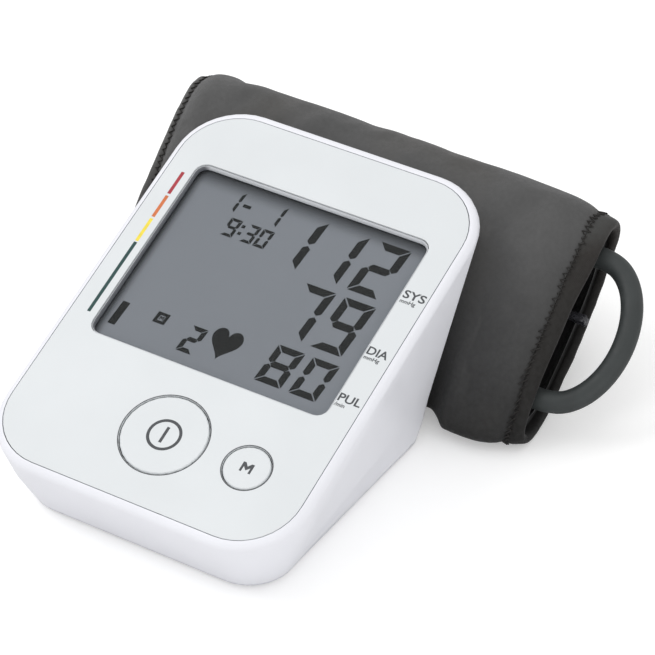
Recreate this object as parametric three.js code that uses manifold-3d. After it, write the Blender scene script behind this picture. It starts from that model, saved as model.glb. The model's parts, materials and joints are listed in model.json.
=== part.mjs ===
// Upper arm blood pressure monitor: wedge-shaped desk unit with its rolled arm cuff behind it.
// Units are millimetres, +Z is up, the unit faces -Y, and everything rests on z = 0. The pieces
// are placed from the middle of the panel's lower seam line; the last step moves the whole group
// so that its origin is the middle of the footprint.
import * as THREE from 'three';
import { mergeVertices } from 'three/addons/utils/BufferGeometryUtils.js';
import Module from 'manifold-3d';

const wasm = await Module();
wasm.setup();

// ---- driving dimensions -------------------------------------------------------------------
const GAP = 0.3;                     // clearance between a piece and its neighbour
const WALL = 2.2;                    // casing wall

// Front panel plane: hinged on its lower seam line, tilted up towards the back.
const TILT = THREE.MathUtils.degToRad(17.5);
const PANEL_Z = 27.9;                // height of the lower seam line
const PANEL_HALF = 52.8;
const PANEL_LENGTH = 145.2;
const PANEL_T = 2.0;
const PANEL_R = 19.7;
const RIM = 2.8;                     // rounded rim around the panel
const RIM_BACK = 0.8;                // the rim is this much wider along its top edge
const DECK_TOP = PANEL_T + GAP;      // depth of the housing deck under the panel
const DECK_T = 2.0;

// Footprint of the casing at the floor and just above it.
const CORNER_STEPS = 10;             // segments in a rounded corner of the casing
const FOOT_H = 0.8;                  // the casing stands this far off the table
const BASE = { halfFront: 46.2, halfBack: 51.7, front: 8.4, back: 100.4, rFront: 14.5, rBack: 7 };
const KNEE_Z = 14;                   // below this height the outline is cut level
const KNEE = { half: 51.4, front: 2.2, rFront: 17.5, rBack: 8 };
const BACK_LEAN = 0.593;             // rear wall runs back this much per unit of height
const BACK_BEND_R = 14;              // bend between floor and rear wall
const SPLIT_Z = 2.6;                 // parting line between top housing and bottom shell

// Display.
const LCD = { x0: -43.7, x1: 43.7, y0: 50.0, y1: 123.2, r: 4.2 };
const BEZEL_W = 0.8;
const LENS_TOP = 1.3;                // depth of the clear window under the panel face
const GLASS_TOP = 2.6;               // depth of the display cell
const CELL_EDGE = 1.9;               // the cell reaches this far under the panel all round
const GLASS_T = 2.4;
const BOARD_TOP = 12.0;
const BOARD_T = 1.6;

// Buttons, measured in the panel plane.
const START = { name: 'start_button', x: 0.5, y: 25.3, r: 14.2 };
const MEMORY = { name: 'memory_button', x: 30.5, y: 25.1, r: 7.6 };
const BUTTON_GAP = 0.35;

// Battery box: four AA cells side by side, loaded from below.
const CELL_R = 7.1;
const CELL_L = 50.2;
const CELL_PITCH = 15.1;
const BOX = { half: 31.0, y0: 37.5, y1: 94.5, roof: 19.6, wall: 1.5 };
const FLOOR_T = 1.4;                 // floor of the bottom shell
const DOOR = { half: 29.6, y0: 37.2, y1: 94.8, t: 1.4, gap: 0.4 };
const TABS = { places: [-15, 15], half: 3.5, slack: 0.6 };   // clips along the door's front edge

const SCREWS = [[38.8, 17], [-38.8, 17], [37.5, 91], [-37.5, 91]];
const SCREW_POST_R = 3.0;
const BACK_POST_TOP = 20.5;
const FEET = [[36.5, 33], [-36.5, 33], [36.5, 79], [-36.5, 79]];

// Air parts.
const PUMP = { x: -16, y: 90, z: 30.7, r: 9.2, l: 24 };
const MANIFOLD = { x: -30, y: 62, z: 27.5 };
const VALVE = { x: 16, y: 90, z: 29 };
const SENSOR = { x: -5, y: 60, half: 5 };   // in the panel frame, under the board
const SENSOR_DEPTH = BOARD_TOP + BOARD_T + GAP + 2;
const SOCKET = { y: 62, z: 24 };
const JACK = { y: 80, z: 24 };
const HOSE_R = 2.0;
const HOSE_GAP = 0.9;                // a hose stops this far short of the nipple it fits

// Cuff: a flattened roll lying behind the casing. s runs up its slope, x along its width.
const ROLL = { y: 141.3, z: 30.7, slope: THREE.MathUtils.degToRad(36.7) };
const CUFF_X0 = -76.5;
const CUFF_X1 = 83.2;
const CUFF_END = 13.2;               // length of the rounded-in end
const CHANNEL = { low: -31.6, high: 29.4, front: 4.2, back: 6.8, r: 3 };
const TUBE_R = 3.7;
const TUBE_BORE = 2.0;
const TUBE_S = 24.0;                 // where the stowed run of tube lies in the roll
const PORT_S = -26.8;
const LOOP_REACH = 17.6;             // how far the loop stands out past the cuff

// ---- materials ----------------------------------------------------------------------------
const finish = (color, roughness, metalness = 0) =>
  new THREE.MeshStandardMaterial({ color, roughness, metalness });
const mat = {
  white: finish('#e9ebee', 0.42),
  panel: finish('#e3e7ea', 0.35),
  grey: finish('#7f848c', 0.4),
  lens: finish('#9aa0aa', 0.1),
  cell: finish('#84878f', 0.2),
  board: finish('#1f5c3a', 0.5),
  black: finish('#1c1d1f', 0.5),
  steel: finish('#b8babd', 0.3, 1),
  spring: finish('#c6c8ca', 0.25, 1),
  brass: finish('#b89a55', 0.35, 1),
  jacket: finish('#3b6ea8', 0.35),
  rubber: finish('#2c2d2f', 0.8),
  silicone: finish('#d9d6cf', 0.6),
  nylon: finish('#4a4a48', 0.9),
  lining: finish('#2b2b2b', 0.95),
  hose: finish('#45484a', 0.6),
};

// ---- geometry helpers ---------------------------------------------------------------------
function toSolid(geometry) {
  const bare = geometry.clone();
  bare.deleteAttribute('normal');
  bare.deleteAttribute('uv');
  const merged = mergeVertices(bare, 1e-4);
  return new wasm.Manifold(new wasm.Mesh({
    numProp: 3,
    vertProperties: new Float32Array(merged.attributes.position.array),
    triVerts: new Uint32Array(merged.index.array),
  }));
}

function toGeometry(solid) {
  const mesh = solid.getMesh();
  const geometry = new THREE.BufferGeometry();
  geometry.setAttribute('position', new THREE.BufferAttribute(new Float32Array(mesh.vertProperties), 3));
  geometry.setIndex(new THREE.BufferAttribute(new Uint32Array(mesh.triVerts), 1));
  geometry.computeVertexNormals();
  return geometry;
}

// Joins the first list of geometries and takes the second list away.
function carve(added, removed = []) {
  let solid = toSolid(added[0]);
  for (const geometry of added.slice(1)) {
    solid = solid.add(toSolid(geometry));
  }
  for (const geometry of removed) {
    solid = solid.subtract(toSolid(geometry));
  }
  return toGeometry(solid);
}

function box(x0, x1, y0, y1, z0, z1) {
  const geometry = new THREE.BoxGeometry(x1 - x0, y1 - y0, z1 - z0);
  return geometry.translate((x0 + x1) / 2, (y0 + y1) / 2, (z0 + z1) / 2);
}

// Upright cylinder between two heights.
function post(x, y, z0, z1, r, segments = 20) {
  const geometry = new THREE.CylinderGeometry(r, r, z1 - z0, segments).rotateX(Math.PI / 2);
  return geometry.translate(x, y, (z0 + z1) / 2);
}

// Cylinder lying along X.
function rod(x0, x1, y, z, r, segments = 20) {
  const geometry = new THREE.CylinderGeometry(r, r, x1 - x0, segments).rotateZ(-Math.PI / 2);
  return geometry.translate((x0 + x1) / 2, y, z);
}

// Solid of revolution from [radius, height] pairs, about Z.
function turned(profile, segments = 24) {
  const points = profile.map(([r, h]) => new THREE.Vector2(r, h));
  return new THREE.LatheGeometry(points, segments).rotateX(Math.PI / 2);
}

// Counter-clockwise rounded rectangle that may be wider at one end.
function roundedOutline(halfFront, halfBack, y0, y1, rFront, rBack, steps = CORNER_STEPS) {
  const corners = [
    [-halfFront + rFront, y0 + rFront, rFront, Math.PI],
    [halfFront - rFront, y0 + rFront, rFront, 1.5 * Math.PI],
    [halfBack - rBack, y1 - rBack, rBack, 0],
    [-halfBack + rBack, y1 - rBack, rBack, 0.5 * Math.PI],
  ];
  const points = [];
  for (const [cx, cy, r, start] of corners) {
    for (let i = 0; i <= steps; i += 1) {
      const a = start + (i / steps) * 0.5 * Math.PI;
      points.push(new THREE.Vector2(cx + r * Math.cos(a), cy + r * Math.sin(a)));
    }
  }
  return points;
}

// Plate with a rounded outline between two depths of the panel frame (depths count downwards).
function plate(outline, top, bottom) {
  const shape = new THREE.Shape(outline);
  const geometry = new THREE.ExtrudeGeometry(shape, { depth: bottom - top, bevelEnabled: false });
  return geometry.translate(0, 0, -bottom);
}

function windowOutline(grow, steps = 4) {
  const middle = (LCD.x0 + LCD.x1) / 2;
  const half = (LCD.x1 - LCD.x0) / 2 + grow;
  const r = Math.max(LCD.r + grow, 1);
  const points = roundedOutline(half, half, LCD.y0 - grow, LCD.y1 + grow, r, r, steps);
  return points.map((p) => new THREE.Vector2(p.x + middle, p.y));
}

// Closed skin through rings of equal point count, each end capped by a fan.
function loft(rings) {
  const count = rings[0].length;
  const positions = [];
  const index = [];
  for (const ring of rings) {
    for (const p of ring) {
      positions.push(p.x, p.y, p.z);
    }
  }
  for (let k = 0; k + 1 < rings.length; k += 1) {
    for (let i = 0; i < count; i += 1) {
      const j = (i + 1) % count;
      const a = k * count;
      const b = a + count;
      index.push(a + i, a + j, b + j, a + i, b + j, b + i);
    }
  }
  const cap = (ring, first, flip) => {
    const centre = new THREE.Vector3();
    ring.forEach((p) => centre.add(p));
    centre.divideScalar(count);
    const hub = positions.length / 3;
    positions.push(centre.x, centre.y, centre.z);
    for (let i = 0; i < count; i += 1) {
      const j = (i + 1) % count;
      index.push(hub, first + (flip ? j : i), first + (flip ? i : j));
    }
  };
  cap(rings[0], 0, true);
  cap(rings[rings.length - 1], (rings.length - 1) * count, false);
  const geometry = new THREE.BufferGeometry();
  geometry.setAttribute('position', new THREE.Float32BufferAttribute(positions, 3));
  geometry.setIndex(index);
  return geometry;
}

// Tube along a smooth path, hollow when a bore radius is given.
function tubing(points, r, bore, steps, sides) {
  const shape = new THREE.Shape();
  shape.absarc(0, 0, r, 0, 2 * Math.PI, false);
  if (bore > 0) {
    const hole = new THREE.Path();
    hole.absarc(0, 0, bore, 0, 2 * Math.PI, true);
    shape.holes.push(hole);
  }
  const path = new THREE.CatmullRomCurve3(points, false, 'centripetal');
  return new THREE.ExtrudeGeometry(shape, { steps, extrudePath: path, curveSegments: sides });
}

// ---- scene graph --------------------------------------------------------------------------
const monitor = new THREE.Group();
const face = new THREE.Group();      // panel frame: x across, y up the slope, z out of the panel
face.position.set(0, 0, PANEL_Z);
face.rotation.x = TILT;
monitor.add(face);
const roll = new THREE.Group();      // cuff frame: x along its width, y up its slope
roll.position.set(0, ROLL.y, ROLL.z);
roll.rotation.x = ROLL.slope;
monitor.add(roll);

function add(parent, name, geometry, material) {
  const mesh = new THREE.Mesh(geometry, material);
  mesh.name = name;
  parent.add(mesh);
  return mesh;
}

const toWorld = (p, depth) => new THREE.Vector3(
  p.x,
  p.y * Math.cos(TILT) + depth * Math.sin(TILT),
  PANEL_Z + p.y * Math.sin(TILT) - depth * Math.cos(TILT),
);

// ---- casing -------------------------------------------------------------------------------
function backAt(z) {
  const leanAngle = Math.atan(BACK_LEAN);
  const tangent = BACK_BEND_R * Math.tan((Math.PI / 2 - leanAngle) / 2);
  const bendTop = tangent * Math.cos(leanAngle);
  if (z >= bendTop) {
    return BASE.back + BACK_LEAN * z;
  }
  const drop = BACK_BEND_R - z;
  return BASE.back - tangent + Math.sqrt(BACK_BEND_R ** 2 - drop ** 2);
}

// Level ring of the casing skin at a height up to the knee.
function levelRing(z, inset) {
  const k = z / KNEE_Z;
  const mix = THREE.MathUtils.lerp;
  const outline = roundedOutline(
    mix(BASE.halfFront, KNEE.half, k) - inset,
    mix(BASE.halfBack, KNEE.half, k) - inset,
    mix(BASE.front, KNEE.front, k) + inset,
    backAt(z) - inset,
    mix(BASE.rFront, KNEE.rFront, k) - inset,
    mix(BASE.rBack, KNEE.rBack, k) - inset,
  );
  return outline.map((p) => new THREE.Vector3(p.x, p.y, z));
}

// Ring parallel to the panel: inset from the rim's outline, at a depth below the panel face.
function rimRing(inset, depth) {
  const half = PANEL_HALF + RIM - inset;
  const r = PANEL_R + RIM - inset;
  const back = PANEL_LENGTH + RIM + RIM_BACK - inset;
  const outline = roundedOutline(half, half, inset - RIM, back, r, r);
  return outline.map((p) => toWorld(p, depth));
}

function caseSkin() {
  const rings = [levelRing(FOOT_H, 1.4), levelRing(1.3, 0.4), levelRing(2.0, 0)];
  rings.push(levelRing(6.8, 0), levelRing(KNEE_Z, 0));
  for (const [inset, depth] of [[0, 3.2], [0.25, 1.9], [1.0, 0.75], [RIM - GAP, 0]]) {
    rings.push(rimRing(inset, depth));
  }
  return loft(rings);
}

function caseHollow() {
  const below = levelRing(FOOT_H + FLOOR_T, WALL + 1.4);
  const rings = [below, levelRing(6.8, WALL), levelRing(KNEE_Z, WALL)];
  rings.push(rimRing(WALL, DECK_TOP + DECK_T));
  return loft(rings);
}

const SLAB = 200;
const belowSplit = () => box(-SLAB, SLAB, -SLAB, SLAB, -SLAB, SPLIT_Z);
const aboveSplit = () => box(-SLAB, SLAB, -SLAB, SLAB, SPLIT_Z - GAP, SLAB);

function inFace(geometry) {
  return geometry.rotateX(TILT).translate(0, 0, PANEL_Z);
}

function buildTopHousing() {
  const panelSeat = roundedOutline(
    PANEL_HALF + GAP, PANEL_HALF + GAP, -GAP, PANEL_LENGTH + GAP, PANEL_R + GAP, PANEL_R + GAP,
  );
  const frontPosts = SCREWS.slice(0, 2).map(([x, y]) => post(x, y, 10.6, 30, SCREW_POST_R, 12));
  const backPosts = SCREWS.slice(2).map(([x, y]) => post(x, y, 10.6, BACK_POST_TOP, SCREW_POST_R, 12));
  const webs = SCREWS.slice(2).map(([x, y]) => {
    const side = Math.sign(x);
    const reach = [x, side * 51];
    return box(Math.min(...reach), Math.max(...reach), y - 1, y + 1, 12, BACK_POST_TOP - 0.5);
  });
  const holes = SCREWS.map(([x, y]) => post(x, y, 10, 20, 1.6, 12));
  const buttonHoles = [START, MEMORY].map(({ x, y, r }) =>
    inFace(post(x, y, -DECK_TOP - DECK_T - 1, 1, r + BUTTON_GAP, 32)));
  const shell = toSolid(caseSkin()).subtract(toSolid(caseHollow()));
  const posts = [...frontPosts, ...backPosts, ...webs];
  let solid = shell.subtract(toSolid(belowSplit()));
  for (const geometry of posts) {
    solid = solid.add(toSolid(geometry));
  }
  const cuts = [
    inFace(plate(panelSeat, -5, DECK_TOP)),
    inFace(plate(windowOutline(CELL_EDGE + GAP), -5, 9)),
    ...buttonHoles,
    ...holes,
    rod(-60, -40, SOCKET.y, SOCKET.z, 6.6),
    rod(-60, -40, JACK.y, JACK.z, 3.0),
  ];
  for (const geometry of cuts) {
    solid = solid.subtract(toSolid(geometry));
  }
  return toGeometry(solid);
}

function buildBottomShell() {
  const tray = toSolid(caseSkin()).subtract(toSolid(caseHollow())).subtract(toSolid(aboveSplit()));
  const floor = FOOT_H + FLOOR_T;
  const cellBox = toSolid(box(
    -BOX.half - BOX.wall, BOX.half + BOX.wall, BOX.y0 - BOX.wall, BOX.y1 + BOX.wall,
    FOOT_H + 0.4, BOX.roof + BOX.wall,
  ));
  let solid = tray.add(cellBox);
  for (const [x, y] of SCREWS) {
    solid = solid.add(toSolid(post(x, y, floor - 0.5, 10.3, SCREW_POST_R, 12)));
  }
  const cuts = [
    box(-BOX.half, BOX.half, BOX.y0, BOX.y1, floor, BOX.roof),
    box(-DOOR.half - DOOR.gap, DOOR.half + DOOR.gap, DOOR.y0 - DOOR.gap, DOOR.y1 + DOOR.gap, 0, floor + 0.1),
    ...SCREWS.map(([x, y]) => post(x, y, 0, 12, 1.6, 12)),
    ...SCREWS.map(([x, y]) => post(x, y, 0, 5.3, 2.6, 12)),
    ...FEET.map(([x, y]) => post(x, y, 0, 1.6, 5.0)),
    ...TABS.places.map((x) => {
      const half = TABS.half + TABS.slack;
      return box(x - half, x + half, BOX.y0 - BOX.wall - 1, BOX.y0 + 1, floor, 9.4);
    }),
  ];
  for (const geometry of cuts) {
    solid = solid.subtract(toSolid(geometry));
  }
  return toGeometry(solid);
}

function buildBatteryDoor() {
  const lid = box(-DOOR.half, DOOR.half, DOOR.y0, DOOR.y1, FOOT_H, FOOT_H + DOOR.t);
  const tabs = TABS.places.flatMap((x) => [
    box(x - TABS.half, x + TABS.half, BOX.y0 + 0.3, BOX.y0 + 2.0, FOOT_H + 1, 5.1),
    box(x - TABS.half, x + TABS.half, BOX.y0 - 4.0, BOX.y0 + 2.0, 3.9, 5.1),
  ]);
  const thumb = new THREE.SphereGeometry(9, 16, 10).translate(0, DOOR.y1 - 8, FOOT_H - 8.0);
  return carve([lid, ...tabs], [thumb]);
}

function buildFeetAndScrews() {
  FEET.forEach(([x, y], i) => {
    const foot = turned([[0, 0], [3.9, 0], [4.5, 0.6], [4.5, 1.4], [0, 1.4]], 18);
    foot.translate(x, y, 0);
    add(monitor, `rubber_foot_${i + 1}`, foot, mat.rubber);
  });
  SCREWS.forEach(([x, y], i) => {
    const screw = turned([[0, 2.9], [2.3, 2.9], [2.3, 4.9], [1.3, 4.9], [1.3, 16.5], [0, 17.5]], 10);
    const slot = [box(-1.5, 1.5, -0.35, 0.35, 2, 3.7), box(-0.35, 0.35, -1.5, 1.5, 2, 3.7)];
    const cut = carve([screw], slot);
    cut.translate(x, y, 0);
    add(monitor, `case_screw_${i + 1}`, cut, mat.steel);
  });
}

// ---- panel, display and buttons, all in the panel frame ------------------------------------
function buildPanel() {
  const outline = roundedOutline(PANEL_HALF, PANEL_HALF, 0, PANEL_LENGTH, PANEL_R, PANEL_R);
  const holes = [START, MEMORY].map(({ x, y, r }) => post(x, y, -5, 5, r + BUTTON_GAP, 32));
  return carve([plate(outline, 0, PANEL_T)], [plate(windowOutline(0), -5, 5), ...holes]);
}

function buildBezel() {
  const ring = (grow, depth) => windowOutline(grow).map((p) => new THREE.Vector3(p.x, p.y, -depth));
  const outer = loft([ring(-GAP, PANEL_T), ring(-GAP, 0.5)]);
  const funnel = loft([ring(-BEZEL_W - 0.1, PANEL_T + 1), ring(-BEZEL_W, 1.1), ring(-GAP - 0.1, 0.4)]);
  return carve([outer], [funnel]);
}

function buildLcdHolder() {
  const floorTop = GLASS_TOP + GLASS_T + GAP;
  const body = plate(windowOutline(4.3), DECK_TOP + DECK_T + GAP, BOARD_TOP - GAP);
  const pocket = plate(windowOutline(CELL_EDGE + GAP), 0, floorTop);
  const underside = plate(windowOutline(CELL_EDGE + GAP), floorTop + 1.0, BOARD_TOP + 1);
  const slots = zebraPlaces().map((y) => box(-41, 42, y - 1.6, y + 1.6, -BOARD_TOP, -floorTop + 1));
  return carve([body], [pocket, underside, ...slots]);
}

const zebraPlaces = () => [LCD.y0 + 1, LCD.y1 - 1];

function buildDisplay() {
  add(face, 'face_panel', buildPanel(), mat.panel);
  add(face, 'lcd_bezel', buildBezel(), mat.grey);
  add(face, 'lcd_window', plate(windowOutline(-BEZEL_W - GAP), LENS_TOP, GLASS_TOP - GAP), mat.lens);
  add(face, 'lcd_cell', plate(windowOutline(CELL_EDGE), GLASS_TOP, GLASS_TOP + GLASS_T), mat.cell);
  add(face, 'lcd_holder', buildLcdHolder(), mat.white);
  zebraPlaces().forEach((y, i) => {
    const strip = box(-40, 41, y - 1.2, y + 1.2, -BOARD_TOP + GAP, -GLASS_TOP - GLASS_T - GAP);
    add(face, `zebra_strip_${i + 1}`, strip, mat.silicone);
  });
  const board = plate(roundedOutline(44, 44, 14, 128, 2, 2, 2), BOARD_TOP, BOARD_TOP + BOARD_T);
  const notches = [box(33, 50, 0, 30, -20, 0), box(-50, -33, 0, 30, -20, 0)];
  add(face, 'main_board', carve([board], notches), mat.board);
}

// Cap with a retaining flange under the deck and a stem that reaches the switch.
function buildButton({ name, x, y, r }) {
  const deckBottom = DECK_TOP + DECK_T;
  const cap = turned([
    [0, -8.6], [2.2, -8.6], [2.2, -deckBottom - 1.6], [r + 0.8, -deckBottom - 1.6],
    [r + 0.8, -deckBottom - 0.4], [r, -deckBottom - 0.4], [r, -0.35], [r - 0.35, 0], [0, 0],
  ], 28);
  add(face, name, cap.translate(x, y, 0), mat.panel);
  const base = box(-3, 3, -3, 3, -BOARD_TOP + GAP, -BOARD_TOP + 1.9);
  const dome = carve([base, post(0, 0, -BOARD_TOP + 1, -9.75, 1.7, 14)]);
  add(face, name.replace('button', 'switch'), dome.translate(x, y, 0), mat.black);
}

// ---- electrics ----------------------------------------------------------------------------
const cellX = (i) => (i - 1.5) * CELL_PITCH;
const CELL_Z = FOOT_H + DOOR.t + 0.5 + CELL_R;
const CELL_Y = (BOX.y0 + BOX.y1) / 2;
const SHEET_BELOW = 2.8;                 // contact plates stop here, clear of the opening door
const pointsBack = (i) => i % 2 === 0;   // cells alternate, so the links can join them in series

function buildCells() {
  for (let i = 0; i < 4; i += 1) {
    const half = CELL_L / 2;
    const can = turned([
      [0, -half], [CELL_R - 0.6, -half], [CELL_R, -half + 0.6], [CELL_R, half - 2.2],
      [CELL_R - 0.8, half - 1.4], [2.7, half - 1.4], [2.7, half], [0, half],
    ], 18);
    can.rotateX(pointsBack(i) ? -Math.PI / 2 : Math.PI / 2);
    can.translate(cellX(i), CELL_Y, CELL_Z);
    add(monitor, `battery_aa_${i + 1}`, can, mat.jacket);
  }
}

// Conical coil on a contact plate; dir is the way it points along Y.
function coil(x, yPlate, dir, length) {
  const turns = 3;
  const points = [];
  for (let k = 0; k <= turns * 8; k += 1) {
    const a = (k / 8) * 2 * Math.PI;
    const t = k / (turns * 8);
    const r = 4.6 - 2.2 * t;
    points.push(new THREE.Vector3(x + r * Math.cos(a), yPlate + dir * t * length, CELL_Z + r * Math.sin(a)));
  }
  return tubing(points, 0.45, 0, turns * 8, 2);
}

// Plate across the cells listed, with a coil at each listed spring cell.
function contactLink(name, cells, springs, atBack) {
  const yWall = atBack ? BOX.y1 - GAP : BOX.y0 + GAP;
  const dir = atBack ? -1 : 1;
  const yFace = yWall + dir * 0.5;
  const x0 = cellX(Math.min(...cells)) - 5.5;
  const x1 = cellX(Math.max(...cells)) + 5.5;
  const [yLow, yHigh] = [Math.min(yWall, yFace), Math.max(yWall, yFace)];
  const sheet = box(x0, x1, yLow, yHigh, CELL_Z - SHEET_BELOW, CELL_Z + 5.5);
  const room = BOX.y1 - CELL_Y - CELL_L / 2 - GAP - 0.5;
  const solids = [sheet, ...springs.map((i) => coil(cellX(i), yWall + dir * 0.3, dir, room - 0.6))];
  add(monitor, name, carve(solids), mat.spring);
}

function buildContacts() {
  contactLink('contact_link_1_2', [0, 1], [0], false);
  contactLink('contact_link_3_4', [2, 3], [2], false);
  contactLink('contact_link_2_3', [1, 2], [1], true);
  contactLink('contact_terminal_plus', [0], [], true);
  contactLink('contact_terminal_minus', [3], [3], true);
}

// ---- pump, valve and air lines --------------------------------------------------------------
function buildPump() {
  const { x, y, z, r, l } = PUMP;
  const can = carve(
    [rod(x, x + l, y, z, r, 24), rod(x + l - 1, x + l + 0.8, y, z, 3)],
    [rod(x - 1, x + 3, y, z, 1.5, 12)],
  );
  add(monitor, 'pump_motor', can, mat.steel);
  const head = carve(
    [box(x - 19, x - GAP, y - 9, y + 9, z - 9, z + 7.5), rod(x - 24, x - 18, y, z + 5, 1.6, 12)],
    [rod(x - 7, x + 1, y, z, 4.2, 20), rod(x - 25, x - 12, y, z + 5, 0.8, 10)],
  );
  add(monitor, 'pump_head', head, mat.black);
  const shaft = carve([rod(x - 6, x + 2, y, z, 1.0, 12), rod(x - 5.5, x - 2.5, y, z + 0.9, 2.6, 18)]);
  add(monitor, 'pump_shaft', shaft, mat.brass);
}

function buildValve() {
  const { x, y, z } = VALVE;
  const frame = [
    rod(x + 14, x + 26, y, z, 5.6, 20),
    box(x + 4, x + 27, y - 5, y + 5, z - 7.2, z - 5.2),
    box(x + 4, x + 5.6, y - 5, y + 5, z - 6, z + 5),
    rod(x, x + 5, y, z, 1.6, 12),
    box(x + 14.5, x + 25.5, y - 3, y + 3, z - 6.5, z - 4),
  ];
  const bores = [rod(x + 13, x + 23, y, z, 1.8, 14), rod(x - 1, x + 7, y, z, 0.8, 10)];
  add(monitor, 'valve_body', carve(frame, bores), mat.steel);
  const plunger = carve([rod(x + 7, x + 20, y, z, 1.4, 12), rod(x + 7, x + 9, y, z, 2.8, 16)]);
  add(monitor, 'valve_plunger', plunger, mat.brass);
}

function buildAirLines() {
  const { x, y, z } = MANIFOLD;
  const reach = 8;
  const nipples = [
    rod(x + 3, x + reach, y, z, 1.4, 10),
    rod(x - reach, x - 3, y, z, 1.4, 10),
    new THREE.CylinderGeometry(1.4, 1.4, reach - 2, 10).translate(x, y + reach / 2 + 1, z),
    new THREE.CylinderGeometry(1.4, 1.4, reach - 2, 10).translate(x, y - reach / 2 - 1, z),
  ];
  const body = box(x - 4, x + 4, y - 4, y + 4, z - 3, z + 3);
  add(monitor, 'air_manifold', carve([body, ...nipples]), mat.white);

  const at = (px, py, pz) => new THREE.Vector3(px, py, pz);
  const line = (name, points) => add(monitor, name, tubing(points, HOSE_R, 1.1, 10, 3), mat.silicone);
  const tip = reach + HOSE_GAP;
  const outletX = PUMP.x - 24 - HOSE_GAP;
  const outletZ = PUMP.z + 5;
  line('hose_pump', [
    at(outletX, PUMP.y, outletZ), at(outletX - 3.5, PUMP.y - 2, outletZ - 0.7),
    at(outletX - 2.7, PUMP.y - 10, outletZ - 3.5), at(x - 4, y + 14.5, z + 3.5),
    at(x - 0.4, y + tip + 2.2, z + 0.3), at(x, y + tip, z),
  ]);
  line('hose_valve', [
    at(x, y - tip, z), at(x + 1, y - tip - 3, z - 1.2), at(x + 6, y - tip - 4.3, z - 2.8),
    at(-5, y - 10, z - 3.5), at(9, y, z - 3.2), at(VALVE.x - 1, y + 12, z - 2.5),
    at(VALVE.x - 3.8, VALVE.y - 7, VALVE.z - 2), at(VALVE.x - 3.8, VALVE.y - 1.6, VALVE.z - 0.4),
    at(VALVE.x - HOSE_GAP, VALVE.y, VALVE.z),
  ]);
  const sensorTip = toWorld({ x: SENSOR.x - SENSOR.half - 4 - HOSE_GAP, y: SENSOR.y }, SENSOR_DEPTH);
  const start = at(x + tip, y, z);
  line('hose_sensor', [start, start.clone().lerp(sensorTip, 0.5), sensorTip]);
  line('hose_socket', [
    at(x - tip, y, z), at(x - tip - 1.8, y, z - 0.5), at(-44 + HOSE_GAP + 1.6, SOCKET.y, SOCKET.z + 0.5),
    at(-44 + HOSE_GAP, SOCKET.y, SOCKET.z),
  ]);
}

function buildSockets() {
  const insert = carve(
    [rod(-53.9, -50.5, SOCKET.y, SOCKET.z, 6.3, 26), rod(-51, -47, SOCKET.y, SOCKET.z, 4.3, 20),
      rod(-48, -44, SOCKET.y, SOCKET.z, 1.4, 10)],
    [rod(-56, -48.5, SOCKET.y, SOCKET.z, 2.4, 18), rod(-49, -43, SOCKET.y, SOCKET.z, 0.8, 8)],
  );
  add(monitor, 'air_socket', insert, mat.grey);
  const { y, z } = JACK;
  const jack = carve([box(-49, -38.5, y - 4.5, y + 4.5, z - 4.5, z + 4.5)], [rod(-50, -40, y, z, 2.7, 16)]);
  const pin = rod(-48.5, -39.5, y, z, 0.9, 10);
  add(monitor, 'power_jack', carve([jack, pin]), mat.black);
}

function buildBoardParts() {
  const under = -BOARD_TOP - BOARD_T - GAP;
  const { x, y, half } = SENSOR;
  const chip = carve([
    box(x - half, x + half, y - half, y + half, under - 4, under),
    rod(x - half - 4, x - half + 1, y, -SENSOR_DEPTH, 1.4, 10),
  ]);
  add(face, 'pressure_sensor', chip, mat.black);
  add(face, 'buzzer', post(24, 40, under - 3.2, under, 6, 20), mat.black);
}

// ---- cuff -----------------------------------------------------------------------------------
// Section of the roll as seen from its right-hand end, as [y, z] pairs, running from the bottom
// front round the sloping front, over the top and down the back. The first list is the padded
// middle, the second the pressed-in end.
const MIDDLE = [
  [112.5, 1.0], [106.2, 6.5], [115.8, 25], [126.5, 41.5], [139, 56.5], [150.5, 64.8],
  [161.5, 65.6], [171.5, 58], [177, 44], [176, 25], [168.5, 7], [153, 1.0], [132, 0.9],
];
const END = [
  [114, 0.9], [110.5, 8.5], [117.5, 20.5], [130, 31], [143, 41.5], [154.5, 50.5],
  [163.5, 55.5], [171, 54.5], [172.5, 46.5], [165, 35], [151.5, 22], [138, 11], [126.5, 2.5],
];
const CUFF_POINTS = 30;
const BULGE = [-6, -6, -3];          // the bottom front swells past the casing's right side
const BESIDE = [52.3, 55.5];         // it does so between these two places along the width
const SAG = 0.00025;                 // the roll gets this much lower per millimetre to the right

function cuffRing(x, blend) {
  const beside = THREE.MathUtils.smoothstep(x, ...BESIDE) * (1 - 0.6 * blend);
  const controls = MIDDLE.map(([y, z], i) => new THREE.Vector3(
    x,
    THREE.MathUtils.lerp(y, END[i][0], blend) + (BULGE[i] ?? 0) * beside,
    THREE.MathUtils.lerp(z, END[i][1], blend) * (1 - SAG * x),
  ));
  const curve = new THREE.CatmullRomCurve3(controls, true, 'catmullrom', 0.5);
  return curve.getPoints(CUFF_POINTS).slice(0, CUFF_POINTS).reverse();
}

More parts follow.
